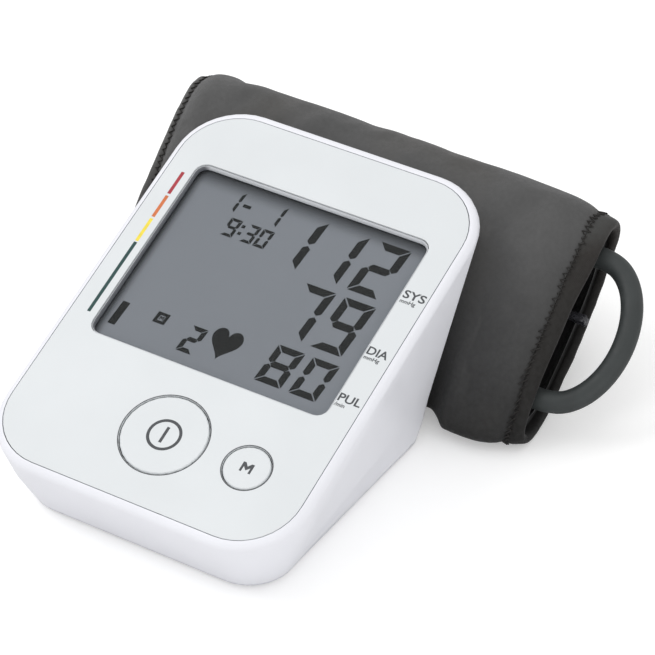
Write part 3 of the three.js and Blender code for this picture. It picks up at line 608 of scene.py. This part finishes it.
def prism(outline, low, high, inner=None):
    """Vertices and faces of a flat outline between two heights; inner is a hole of equal point count."""
    count = len(outline)
    vertices = [(x, y, low) for x, y in outline] + [(x, y, high) for x, y in outline]
    if inner is None:
        faces = [tuple(reversed(range(count))), tuple(range(count, 2 * count))]
        for k in range(count):
            n = (k + 1) % count
            faces.append((k, n, count + n, count + k))
        return vertices, faces
    vertices += [(x, y, low) for x, y in inner] + [(x, y, high) for x, y in inner]
    faces = []
    for k in range(count):
        n = (k + 1) % count
        outer_low, outer_high = (k, n), (count + k, count + n)
        inner_low, inner_high = (2 * count + k, 2 * count + n), (3 * count + k, 3 * count + n)
        faces.append((outer_low[0], outer_low[1], outer_high[1], outer_high[0]))
        faces.append((inner_low[1], inner_low[0], inner_high[0], inner_high[1]))
        faces.append((outer_high[0], outer_high[1], inner_high[1], inner_high[0]))
        faces.append((outer_low[1], outer_low[0], inner_low[0], inner_low[1]))
    return vertices, faces


def rectangle(x0, x1, y0, y1, lean=0.0):
    """Counter-clockwise, with its top edge shifted right by lean."""
    return [(x0, y0), (x1, y0), (x1 + lean, y1), (x0 + lean, y1)]


def circle(x, y, r, count=64):
    angles = (2 * math.pi * k / count for k in range(count))
    return [(x + r * math.cos(a), y + r * math.sin(a)) for a in angles]


class Prints:
    """Collects thin raised outlines on the panel, or on a surface at another height, into one piece."""

    def __init__(self, surface=0.0):
        self.vertices = []
        self.faces = []
        self.low = surface - PRINT_SINK
        self.high = surface + PRINT_H

    def add(self, outline, inner=None):
        first = len(self.vertices)
        vertices, faces = prism(outline, self.low, self.high, inner)
        self.vertices += vertices
        self.faces += [tuple(first + i for i in face) for face in faces]

    def piece(self, name, finish, body):
        new_piece(name, self.vertices, self.faces, finish, body, smooth=False, parent_matrix=panel_mm)


def lay_cloth_uv(obj, place):
    """Gives every corner a place on the cloth, worked out from its vertex's index."""
    layer = obj.data.uv_layers.new(name="cloth")
    for loop in obj.data.loops:
        layer.data[loop.index].uv = place(loop.vertex_index)


def round_off(obj):
    """One level of subdivision."""
    modifier = obj.modifiers.new("round", "SUBSURF")
    modifier.render_levels = 1
    modifier.levels = 1


def surface_tree(node):
    mesh = nodes[node].data
    return BVHTree.FromPolygons([v.co for v in mesh.vertices], [tuple(p.vertices) for p in mesh.polygons])


def button_centre(node):
    middle = Vector((sum(span(node, PANEL_X)) / 2, 0, 0))
    y = sum(span(node, PANEL_Y)) / 2 - panel_origin.dot(PANEL_Y)
    return (middle.x - panel_origin.x) / MM, y / MM


def hole_radius(node):
    """Radius of the panel's hole round a button, in millimetres: the nearest panel point to its centre."""
    x, y = button_centre(node)
    face_points = (panel_mm.inverted() @ v.co for v in nodes["face_panel"].data.vertices)
    return min(math.hypot(p.x - x, p.y - y) for p in face_points)


# ---- display ----
SEGMENTS = {
    "0": "abcdef", "1": "bc", "2": "abged", "3": "abgcd", "7": "abc", "8": "abcdefg", "9": "abcdfg",
}
SLANT = 0.075                 # the digits lean right by this much per unit of height
SEGMENT_GAP = 0.11            # gap between bars, as a share of the stroke
READINGS = (                  # baseline y, height, width, stroke, and each digit with its left edge
    (97.8, 20.9, 11.3, 2.8, (("1", -5.2), ("1", 10.0), ("2", 25.1))),
    (73.9, 21.0, 11.4, 2.8, (("7", 10.4), ("9", 24.9))),
    (55.8, 14.8, 9.7, 2.4, (("8", 14.7), ("0", 27.2))),
)
CLOCK_STROKE = 1.1
CLOCK_DASH = (-22.5, -19.6, 113.5, 114.8)
CLOCK_DOTS = (103.1, 106.0)   # heights of the two dots, the lower edges
DOT_X = -18.7
DOT_SIZE = 1.2
DOT_LEAN = 0.07
SMALL_DIGIT = (-14.3, 55.9, 5.8, 10.4, 1.65)    # left edge, baseline, width, height, stroke
HEART = (-0.5, 57.4, 10.7, 12.0)                # tip x and y, width, height
LEVEL_BAR = (-40.2, -37.5, 56.3, 65.7, 0.5)     # left, right, bottom, top and lean
BOX_OUTER = (-26.9, -22.5, 62.4, 66.7, 0.3)
BOX_INNER = (-25.6, -23.6, 63.5, 65.6, 0.2)
BOX_LETTER = (-25.2, 63.8, 1.5, 1.6, 0.35)
CLOCK_DIGITS = (              # digit, left edge x, baseline y, width, height
    ("1", -27.8, 110.4, 3.6, 8.5), ("1", -11.9, 110.3, 3.6, 8.6),
    ("9", -24.0, 101.1, 4.3, 7.4), ("3", -16.8, 101.1, 4.2, 7.4), ("0", -11.8, 101.1, 4.2, 7.4),
)


def segment_outline(kind, w, h, t):
    """One bar of a seven-segment digit of size w x h and stroke t, mitred to its neighbours."""
    gap = SEGMENT_GAP * t
    middle = h / 2
    if kind == "g":
        y0, y1 = middle - t / 2, middle + t / 2
        left, right = gap + t / 2, w - gap - t / 2
        return [(left, middle), (t, y1), (w - t, y1), (right, middle), (w - t, y0), (t, y0)]
    if kind in "ad":
        outer, inner = (h, h - t) if kind == "a" else (0, t)
        return [(gap, outer), (w - gap, outer), (w - gap - t, inner), (gap + t, inner)]
    x_out, x_in = (w, w - t) if kind in "bc" else (0, t)
    x_mid = (x_out + x_in) / 2
    end, up = (h, -1) if kind in "bf" else (0, 1)
    near = middle - up * t / 2
    tip = (x_mid, middle - up * gap)
    return [(x_out, end + up * gap), (x_in, end + up * (gap + t)), (x_in, near), tip, (x_out, near)]


def wound(outline):
    """The same outline, counter-clockwise."""
    area = sum(a[0] * b[1] - b[0] * a[1] for a, b in zip(outline, outline[1:] + outline[:1]))
    return outline if area > 0 else outline[::-1]


def add_digit(prints, digit, x, y, w, h, t):
    for kind in SEGMENTS[digit]:
        outline = [(x + px + SLANT * py, y + py) for px, py in segment_outline(kind, w, h, t)]
        prints.add(wound(outline))


def heart(x, y, w, h, count=40):
    """Heart outline about w wide and h high whose tip is at (x, y)."""
    points = []
    for k in range(count):
        a = 2 * math.pi * k / count
        px = 16 * math.sin(a) ** 3
        py = 13 * math.cos(a) - 5 * math.cos(2 * a) - 2 * math.cos(3 * a) - math.cos(4 * a)
        points.append((x + px / 32 * w, y + (py + 17) / 29 * h))
    return points


def letter_m(x, y, w, h, t):
    """Capital M with its lower left corner at (x, y)."""
    leg = [(0, 0), (t, 0), (t, h - 1.9 * t), (w / 2, 0.22 * h), (w - t, h - 1.9 * t), (w - t, 0), (w, 0)]
    top = [(w, h), (w - 1.15 * t, h), (w / 2, 0.22 * h + 1.9 * t), (1.15 * t, h), (0, h)]
    return [(x + px, y + py) for px, py in leg + top]


def build_numbers():
    numbers = Prints(display_h)
    for row_y, height, width, stroke, places in READINGS:
        for digit, x in places:
            add_digit(numbers, digit, x, row_y, width, height, stroke)
    numbers.piece("display_numbers", segment_finish, "casing")


def build_clock():
    clock = Prints(display_h)
    for digit, x, y, w, h in CLOCK_DIGITS:
        add_digit(clock, digit, x, y, w, h, CLOCK_STROKE)
    clock.add(rectangle(*CLOCK_DASH))
    for dot in CLOCK_DOTS:
        clock.add(rectangle(DOT_X, DOT_X + DOT_SIZE, dot, dot + DOT_SIZE, DOT_LEAN))
    clock.piece("display_clock", segment_finish, "casing")


def build_signs():
    """Small count, heart, level bar and boxed M along the bottom of the display."""
    signs = Prints(display_h)
    add_digit(signs, "2", *SMALL_DIGIT)
    signs.add(wound(heart(*HEART)))
    signs.add(rectangle(*LEVEL_BAR))
    signs.add(rectangle(*BOX_OUTER), rectangle(*BOX_INNER))
    signs.add(letter_m(*BOX_LETTER))
    signs.piece("display_signs", segment_finish, "casing")


build_numbers()
build_clock()
build_signs()


# ---- prints on the panel and the buttons ----
def build_colour_bar():
    half = COLOUR_BAR_W / 2
    for color, y0, y1 in COLOUR_BAR:
        bar = Prints()
        bar.add(rectangle(COLOUR_BAR_X - half, COLOUR_BAR_X + half, y0, y1))
        bar.piece(f"colour_bar_{color}", bar_finishes[color], "casing")


def printed_text(name, words, x, y, height, stretch):
    """Thin raised lettering on the panel whose capitals are height millimetres tall."""
    curve = bpy.data.curves.new(name, "FONT")
    curve.body = words
    curve.size = height / CAPITAL_SHARE
    curve.offset = LABEL_WEIGHT * height
    curve.extrude = (PRINT_H + PRINT_SINK) / 2
    curve.resolution_u = 4
    text = bpy.data.objects.new(name, curve)
    scene.collection.objects.link(text)
    bpy.context.view_layer.update()
    mesh = bpy.data.meshes.new_from_object(text.evaluated_get(bpy.context.evaluated_depsgraph_get()))
    bpy.data.objects.remove(text)
    place = Matrix.Translation((x, y, (PRINT_H - PRINT_SINK) / 2))
    mesh.transform(panel_mm @ place @ Matrix.Diagonal((stretch, 1, 1, 1)))
    mesh.name = name
    mesh.materials.clear()
    mesh.materials.append(label_finish)
    obj = bpy.data.objects.new(name, mesh)
    scene.collection.objects.link(obj)
    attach(obj, "casing")


def build_key_prints():
    """The start symbol and the letter M ride on their keys; the line round each key is on the panel."""
    x, y = button_centre("start_button")
    inner, outer = POWER_RING
    half, length = POWER_BAR[0] / 2, POWER_BAR[1] / 2
    symbol = Prints()
    symbol.add(circle(x, y, outer), circle(x, y, inner))
    symbol.add(rectangle(x - half, x + half, y - length, y + length))
    symbol.piece("start_symbol", label_finish, "start_button")
    x, y = button_centre("memory_button")
    width, height, stroke = MEMORY_LETTER
    letter = Prints()
    letter.add(letter_m(x - width / 2, y - height / 2, width, height, stroke))
    letter.piece("memory_letter", label_finish, "memory_button")
    for node in ("start_button", "memory_button"):
        x, y = button_centre(node)
        hole = hole_radius(node)
        line = Prints()
        line.add(circle(x, y, hole + RING_W, RING_COUNT), circle(x, y, hole + RING_CLEAR, RING_COUNT))
        line.piece(node.replace("button", "ring_line"), label_finish, "casing")


build_colour_bar()
for k, label in enumerate(LABELS):
    printed_text(f"label_{k + 1}", *label)
build_key_prints()


# ---- cuff ----
def reach_along(points):
    """Distance of every point of a line from its first, along the line."""
    return np.concatenate([[0], np.cumsum(np.linalg.norm(np.diff(points, axis=0), axis=1))])


def values_at(wanted, reach, values):
    """Values given at the distances in reach, read off at the wanted distance or distances."""
    return np.stack([np.interp(wanted, reach, values[:, axis]) for axis in range(3)], axis=-1)


def resampled(points, count):
    """A closed line of points, resampled to count points evenly spaced along it."""
    closed = np.vstack([points, points[:1]])
    reach = reach_along(closed)
    return values_at(np.linspace(0, reach[-1], count, endpoint=False), reach, closed)


def cuff_stations(low, high):
    """Places along the cuff's width, closer together near its ends and where it swells past the casing."""
    fine = [value * MM for value in END_STEPS]
    middle = int(round((high - low - 2 * fine[-1]) / STEP))
    inner = [low + fine[-1] + (high - low - 2 * fine[-1]) * k / middle for k in range(1, middle)]
    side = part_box("top_housing")[1].x
    beside = [side + BESIDE_STEP * k for k in range(BESIDE_COUNT)]
    spread = [x for x in inner if not beside[0] - MM < x < beside[-1] + MM]
    inner = sorted(spread + beside)
    return [low + value for value in fine] + inner + [high - value for value in reversed(fine)]


def smoothed(grid):
    """Relaxes the rings, and the lines along the width but for their ends."""
    for _ in range(SMOOTH_ROUNDS):
        around = (np.roll(grid, 1, axis=1) + np.roll(grid, -1, axis=1)) / 2
        grid = grid * 0.5 + around * 0.5
        inner = (grid[:-2] + grid[2:]) / 2
        grid[1:-1] = grid[1:-1] * 0.5 + inner * 0.5
    return grid


def cuff_grid():
    """Rings of points on the CAD cuff's outer surface, [station, point, xyz]."""
    tree = surface_tree("cuff_cover")
    low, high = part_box("cuff_cover")
    centre = (low + high) / 2
    rings = []
    for x in cuff_stations(low.x + END_GAP, high.x - END_GAP):
        points = []
        for k in range(RAYS):
            a = 2 * math.pi * k / RAYS
            out = Vector((0, math.cos(a), math.sin(a)))
            start = Vector((x, centre.y, centre.z)) + out * RAY_START
            hit = tree.ray_cast(start, -out, RAY_START)[0]
            if hit is not None:
                points.append(hit)
        rings.append(resampled(np.array(points), AROUND))
    return smoothed(np.array(rings))


def grid_normals(grid):
    around = np.roll(grid, -1, axis=1) - np.roll(grid, 1, axis=1)
    along = np.gradient(grid, axis=0)
    normal = np.cross(around, along)
    normal /= np.linalg.norm(normal, axis=2, keepdims=True) + 1e-12
    outward = grid - grid.mean(axis=1, keepdims=True)
    if (normal * outward).sum() < 0:
        normal = -normal
    return normal


def casing_back(z):
    """How far back the casing reaches at a height, read from its CAD shell."""
    return float(np.interp(z, [p[0] for p in back_line], [p[1] for p in back_line]))


def read_back_line():
    """Height and depth of points up the middle of the casing's rear wall."""
    tree = surface_tree("top_housing")
    low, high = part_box("top_housing")
    count = 24
    line = []
    for k in range(count):
        z = low.z + (high.z - low.z) * (k + 0.5) / count
        start = Vector(((low.x + high.x) / 2, high.y + RAY_START, z))
        hit = tree.ray_cast(start, Vector((0, -1, 0)))[0]
        if hit is not None:
            line.append((z, hit.y))
    return line


back_line = read_back_line()


def held(grid):
    """1 for points that stay put, at the ends, underneath and beside the casing, and 0 for the others."""
    housing_low, housing_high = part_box("top_housing")
    hold = np.zeros(grid.shape[:2])
    hold[:2] = 1
    hold[-2:] = 1
    for i, k in np.ndindex(hold.shape):
        x, y, z = grid[i, k]
        across = housing_low.x - 4 * MM < x < housing_high.x + 4 * MM
        by_casing = across and y - casing_back(z) < 5 * MM and z < housing_high.z
        if z < 3 * MM or by_casing:
            hold[i, k] = 1
    return hold


def simulate_cuff(grid, hold):
    """Cloth simulation of the outer layer, a little too long for its shape so that it wrinkles."""
    rows, columns = grid.shape[:2]
    mesh = bpy.data.meshes.new("cuff_sim")
    seed = grid + grid_normals(grid) * wrinkle_seed(grid)[..., None]
    mesh.from_pydata([tuple(p) for p in seed.reshape(-1, 3)], [], grid_faces(rows, columns))
    obj = bpy.data.objects.new("cuff_sim", mesh)
    scene.collection.objects.link(obj)
    group = obj.vertex_groups.new(name="held")
    for index, weight in enumerate(hold.ravel()):
        group.add([index], float(weight), "REPLACE")
    cloth = obj.modifiers.new("cloth", "CLOTH")
    for setting, value in CLOTH.items():
        setattr(cloth.settings, setting, value)
    cloth.settings.effector_weights.gravity = 0
    cloth.settings.vertex_group_mass = "held"
    cloth.collision_settings.use_collision = False
    for number in range(CLOTH_FRAMES):
        scene.frame_set(number + 1)
    settled = obj.evaluated_get(bpy.context.evaluated_depsgraph_get()).data
    co = np.zeros(rows * columns * 3)
    settled.vertices.foreach_get("co", co)
    bpy.data.objects.remove(obj)
    scene.frame_set(1)
    return co.reshape(rows, columns, 3)


def wrinkle_seed(grid):
    """Low folds that start the wrinkles: long ripples across the cuff's width, in metres."""
    seed = np.zeros(grid.shape[:2])
    for i, k in np.ndindex(seed.shape):
        p = Vector(grid[i, k])
        place = Vector((p.x / 0.022, p.dot(ROLL_UP) / 0.05, p.dot(ROLL_OUT) / 0.05))
        seed[i, k] = noise.noise(place) * 1.1 * MM + noise.noise(place * 2.7) * 0.4 * MM
    return seed


def wrinkled(grid):
    """The grid after the cloth simulation, its movement limited so that the roll keeps its outline."""
    hold = held(grid)
    moved = simulate_cuff(grid, hold)
    shift = moved - grid
    normal = grid_normals(grid)
    out = (shift * normal).sum(axis=2)
    sideways = shift - normal * out[..., None]
    out = np.clip(np.where(out > 0, out * OUT_SHARE, out), *OUT_LIMITS)
    length = np.linalg.norm(sideways, axis=2, keepdims=True)
    sideways *= np.minimum(1, SIDEWAYS_LIMIT / (length + 1e-9))
    result = grid + normal * out[..., None] + sideways
    result[..., 2] = np.maximum(result[..., 2], LOWEST)
    return result


def end_distance(grid, right):
    """Distance of every station from the chosen end, along the surface, [station, point]."""
    steps = np.linalg.norm(np.diff(grid, axis=0), axis=2)
    if right:
        back = np.cumsum(steps[::-1], axis=0)[::-1]
        return np.vstack([back, np.zeros((1, grid.shape[1]))])
    return np.vstack([np.zeros((1, grid.shape[1])), np.cumsum(steps, axis=0)])


def creased(grid):
    """Draws the skin in along the two lines of stitching."""
    normal = grid_normals(grid)
    for _, right, hem in ENDS:
        distance = end_distance(grid, right)
        depth = CREASE_DEPTH * np.exp(-(((distance - hem - CREASE_PLACE) / CREASE_WIDTH) ** 2))
        grid = grid - normal * depth[..., None]
    return grid


def skin_at(grid, k, inset, right):
    """Point on the skin, inset metres from an end, and its outward normal."""
    order = grid[::-1, k] if right else grid[:, k]
    turned = normals[::-1, k] if right else normals[:, k]
    reach = reach_along(order)
    point = values_at(max(inset, 0), reach, order)
    normal = values_at(max(inset, 0), reach, turned)
    normal /= np.linalg.norm(normal)
    ahead = order[0] - order[3]
    ahead /= np.linalg.norm(ahead)
    if inset < 0:
        point = point + ahead * -inset
    return point, normal


def build_cuff_skin(grid):
    rows, columns = grid.shape[:2]
    inner = grid - normals * SHEET_T
    vertices = [tuple(p) for p in grid.reshape(-1, 3)] + [tuple(p) for p in inner.reshape(-1, 3)]
    total = rows * columns
    faces = [tuple(reversed(f)) for f in grid_faces(rows, columns)]
    faces += [tuple(total + i for i in f) for f in grid_faces(rows, columns)]
    last = (rows - 1) * columns
    for k in range(columns):
        n = (k + 1) % columns
        faces.append((k, n, total + n, total + k))
        faces.append((last + n, last + k, total + last + k, total + last + n))
    obj = new_piece("cuff_outer_layer", vertices, faces, finishes["cuff_nylon"], "cuff")
    around = reach_along(grid[rows // 2])

    def place(index):
        i, k = divmod(index % total, columns)
        return float(grid[i, k, 0]), float(around[k])

    lay_cloth_uv(obj, place)
    round_off(obj)
    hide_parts("cuff_cover")


def ramp(value, start, end):
    """0 before start, 1 after end, and smooth between."""
    t = min(1.0, max(0.0, (value - start) / (end - start)))
    return t * t * (3 - 2 * t)


def binding(side, right, hem, rolled):
    """Closed band of tape round an end of the cuff, slightly puckered by its stitching.

    A rolled binding gets fatter towards the top of the roll, where its edge curls over.
    """
    hem /= MM
    section = [               # inset from the end and height over the cloth, in millimetres
        (hem, -0.8), (hem, 0.1), (hem - 0.5, 0.5), (hem * 0.6, 0.8), (hem * 0.25, 0.75), (0.0, 0.45),
        (-0.7, -0.3), (-0.8, -1.3), (-0.5, -2.4), (0.4, -2.9), (hem * 0.5, -3.0), (hem * 0.8, -2.6),
    ]
    rng = random.Random(7 if right else 11)
    vertices = []
    for k in range(AROUND):
        swell = 1 + PUCKERS * (rng.random() - 0.5)
        curl = rolled * ramp(skin_at(cuff, k, 0, right)[0][2], *CURL_HEIGHTS)
        for inset, height in section:
            if inset < CURL_WIDTH:
                inset -= curl
                height += curl * (0.6 if height > 0 else 0.2)
            point, normal = skin_at(cuff, k, inset * MM, right)
            vertices.append(tuple(point + normal * height * MM * (swell if height > 0 else 1)))
    faces = grid_faces(AROUND, len(section), wrap_rows=True)
    if right:
        faces = [tuple(reversed(f)) for f in faces]
    finish = binding_finish if right else edging_finish
    obj = new_piece(f"cuff_binding_{side}", vertices, faces, finish, "cuff")

    def place(index):
        k, j = divmod(index, len(section))
        return section[j][0] * MM, k * BINDING_WEAVE

    lay_cloth_uv(obj, place)
    round_off(obj)


def stitching(side, right, hem, rng):
    """Zigzag of thread along the inner edge of a binding."""
    hem /= MM
    points = []
    for k in range(AROUND):
        for shift, inset, lift in ((0.0, hem - 1.0, 0.75), (0.5, hem + 1.0, 0.15)):
            jitter = (rng.random() - 0.5) * STITCH_JITTER
            a, normal = skin_at(cuff, k, (inset + jitter) * MM, right)
            b, _ = skin_at(cuff, (k + 1) % AROUND, (inset + jitter) * MM, right)
            points.append(a * (1 - shift) + b * shift + normal * lift * MM)
    line = [Vector(p) for p in points]
    vertices = swept_rings(line, True, THREAD_CROSS, (THREAD_R,), THREAD_SIDES)
    faces = grid_faces(len(line), THREAD_SIDES, wrap_rows=True)
    new_piece(f"cuff_stitching_{side}", vertices, faces, thread_finish, "cuff")


def ribbon_line(ring, centre, side):
    """One side of the wound ribbon in the plane of a ring, winding inwards towards the roll's core."""
    up, out = np.array(ROLL_UP), np.array(ROLL_OUT)
    middle_out = ((ring - centre) @ out).mean()
    line = []
    for s in range(ROLL_STEPS + 1):
        u = ROLL_TURNS * s / ROLL_STEPS
        k, f = divmod((u % 1.0) * AROUND, 1)
        p = ring[int(k) % AROUND] * (1 - f) + ring[(int(k) + 1) % AROUND] * f
        core = centre + up * np.clip((p - centre) @ up, *CORE_UP) + out * middle_out
        core[0] = p[0]
        thin = float(np.linalg.norm(p - core))
        scale = max(0.12, (thin - RIBBON_INSET) / thin) * (1 - RIBBON_SHRINK * u) - RIBBON_T * side
        ripple = noise.noise(Vector((p[0] / 0.03, u * 6, 3.1 * side))) * 0.02
        line.append(core + (p - core) * (scale + ripple))
    return line


def build_inner_roll(base):
    """The turns of cloth seen in the roll's open ends: one ribbon wound inside the outer layer."""
    rows = len(base)
    centre = np.array(sum(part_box("cuff_cover"), Vector()) / 2)
    vertices = []
    picks = list(range(2, rows - 2, 3)) + [rows - 3]
    for i in picks:
        vertices += ribbon_line(base[i], centre, 0) + ribbon_line(base[i], centre, 1)[::-1]
    count = 2 * (ROLL_STEPS + 1)
    last = (len(picks) - 1) * count
    ends = [tuple(range(count)), tuple(reversed(range(last, last + count)))]
    faces = grid_faces(len(picks), count) + ends
    obj = new_piece("cuff_inner_roll", vertices, faces, finishes["cuff_lining"], "cuff")
    lay_cloth_uv(obj, lambda index: (index // count * 7 * MM, index % count * 2 * MM))
    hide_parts("cuff_inner_layers")


def build_bladder():
    """Air bag between the turns of the roll: a flat dark cushion, thin along its edges."""
    s_low, s_high = span("cuff_bladder", ROLL_UP)
    o_low, o_high = span("cuff_bladder", ROLL_OUT)
    low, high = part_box("cuff_bladder")
    start, end = low.x + BLADDER_INSET, high.x - BLADDER_INSET
    rows, columns = 24, 28
    vertices = []
    for i in range(rows):
        along = i / (rows - 1)
        full = max(0.08, 1 - (2 * along - 1) ** 6)
        for cos, sin in circle(0, 0, 1, columns):
            across = math.copysign(abs(cos) ** 0.4, cos) * full ** 0.3
            place = ROLL_UP * ((s_low + s_high) / 2 + across * (s_high - s_low) / 2)
            place += ROLL_OUT * ((o_low + o_high) / 2 + sin * full * (o_high - o_low) / 2)
            vertices.append(place + Vector((start + (end - start) * along, 0, 0)))
    faces = capped_faces(rows, columns)
    obj = new_piece("cuff_air_bag", vertices, faces, finishes["cuff_lining"], "cuff")
    lay_cloth_uv(obj, lambda index: (index // columns * 6 * MM, index % columns * 4 * MM))
    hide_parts("cuff_bladder")


base_cuff = cuff_grid()
cuff = creased(wrinkled(base_cuff))
normals = grid_normals(cuff)
build_cuff_skin(cuff)
binding(*ENDS[0], RIGHT_CURL)
binding(*ENDS[1], 0.0)
stitch_draws = random.Random(3)
for end in ENDS:
    stitching(*end, stitch_draws)
build_inner_roll(base_cuff)
build_bladder()


# ---- air tube and tag ----
def tube_path():
    """Out of the port, round the loop, back into the roll and along it to the plug."""
    tube_low, tube_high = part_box("air_tube")
    port = sum(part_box("cuff_port"), Vector()) / 2
    plug = sum(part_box("air_plug"), Vector()) / 2
    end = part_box("cuff_cover")[1].x
    reach = tube_high.x - TUBE_R - end - LOOP_START
    middle, half = (port + plug) / 2, (plug - port) / 2
    path = [Vector((end - PORT_DEPTH, port.y, port.z))]
    for k in range(LOOP_POINTS):
        a = math.pi * (k / (LOOP_POINTS - 1) - 0.5)
        x = end + LOOP_START + reach * math.cos(a)
        path.append(Vector((x, middle.y + half.y * math.sin(a), middle.z + half.z * math.sin(a))))
    return path + [Vector((x, plug.y, plug.z)) for x in (end - RETURN_DEPTH, 0, tube_low.x)]


def build_air_tube():
    line = spline(tube_path(), 12)
    vertices = swept_rings(line, False, ROLL_OUT, (TUBE_R, TUBE_BORE), TUBE_SIDES)
    ring = 2 * TUBE_SIDES
    last = (len(line) - 1) * ring
    faces = []
    for j in range(TUBE_SIDES):
        n = (j + 1) % TUBE_SIDES
        inner_j, inner_n = TUBE_SIDES + j, TUBE_SIDES + n
        for a in range(0, last, ring):
            b = a + ring
            faces.append((a + j, b + j, b + n, a + n))
            faces.append((a + inner_n, b + inner_n, b + inner_j, a + inner_j))
        faces.append((n, inner_n, inner_j, j))
        faces.append((last + j, last + inner_j, last + inner_n, last + n))
    obj = new_piece("cuff_air_tube", vertices, faces, finishes["tube_rubber"], "cuff")
    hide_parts("air_tube")


def spline(points, per_span):
    """Catmull-Rom line through the points."""
    padded = [points[0] * 2 - points[1]] + list(points) + [points[-1] * 2 - points[-2]]
    line = []
    for k in range(1, len(padded) - 2):
        p0, p1, p2, p3 = padded[k - 1:k + 3]
        for j in range(per_span):
            t = j / per_span
            line.append(0.5 * (2 * p1 + (p2 - p0) * t + (2 * p0 - 5 * p1 + 4 * p2 - p3) * t ** 2
                               + (3 * p1 - p0 - 3 * p2 + p3) * t ** 3))
    line.append(padded[-2])
    return line


def build_tag():
    """Small folded strip of clear film that sticks out of the end of the roll."""
    low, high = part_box("cuff_tag")
    width = (high - low).dot(ROLL_UP) * TAG_SHARE
    reach, rise = TAG_FOLD
    line = []
    for k in range(TAG_POINTS + 1):
        a = math.pi * k / TAG_POINTS
        x = high.x - TAG_BACK + reach * math.sin(a)
        line.append(Vector((x, 0, 0)) + ROLL_OUT * (rise * math.cos(a)))
    inwards = Vector((-TAG_LENGTH, 0, 0))
    line = [line[0] + inwards] + line + [line[-1] + inwards]
    centre = (low + high) / 2
    vertices = []
    for k, p in enumerate(line):
        ahead = (line[min(k + 1, len(line) - 1)] - line[max(k - 1, 0)]).normalized()
        out = ahead.cross(ROLL_UP).normalized() * TAG_HALF_T
        spot = Vector((0, centre.y, centre.z)) + p + ROLL_UP * (TAG_WAVE * math.sin(k * 0.8))
        for s, o in ((-1, -1), (1, -1), (1, 1), (-1, 1)):
            vertices.append(spot + ROLL_UP * (s * width / 2) + out * o)
    faces = capped_faces(len(line), 4)
    obj = new_piece("cuff_film_tag", vertices, faces, finishes["tag_clear"], "cuff")
    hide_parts("cuff_tag")


build_air_tube()
build_tag()


# ---- studio ----
def build_floor():
    mesh = bpy.data.meshes.new("floor")
    corners = rectangle(-FLOOR_HALF, FLOOR_HALF, -FLOOR_HALF, FLOOR_HALF)
    mesh.from_pydata([(x, y, 0) for x, y in corners], [], [(0, 1, 2, 3)])
    mesh.materials.append(floor_finish())
    floor = bpy.data.objects.new("floor", mesh)
    scene.collection.objects.link(floor)


def build_lights(target):
    world = bpy.data.worlds.new("studio")
    world.use_nodes = True
    background = next(n for n in world.node_tree.nodes if n.type == "BACKGROUND")
    background.inputs["Color"].default_value = (1.0, 1.0, 1.0, 1)
    background.inputs["Strength"].default_value = WORLD_LIGHT
    scene.world = world
    for name, place, size, watts in SOFTBOXES:
        light = bpy.data.lights.new(name, "AREA")
        light.shape = "DISK"
        light.size = size
        light.energy = watts
        obj = bpy.data.objects.new(name, light)
        obj.location = place
        obj.rotation_euler = (target - Vector(place)).to_track_quat("-Z", "Y").to_euler()
        scene.collection.objects.link(obj)


def build_camera(target):
    azimuth, elevation = math.radians(VIEW_AZIMUTH), math.radians(VIEW_ELEVATION)
    level = Vector((math.sin(azimuth), -math.cos(azimuth), 0))
    back = level * math.cos(elevation) + Vector((0, 0, math.sin(elevation)))
    lens = bpy.data.cameras.new("photo_camera")
    lens.lens = LENS
    lens.sensor_width = SENSOR
    lens.clip_start = 0.01
    camera = bpy.data.objects.new("photo_camera", lens)
    camera.location = target + back * VIEW_DISTANCE
    camera.rotation_mode = "QUATERNION"
    camera.rotation_quaternion = (-back).to_track_quat("-Z", "Y")
    scene.collection.objects.link(camera)
    scene.camera = camera
    scene.view_settings.view_transform = "Standard"


aim = Vector((panel_origin.x, panel_origin.y, 0)) + VIEW_AIM
build_floor()
build_lights(aim)
build_camera(aim)
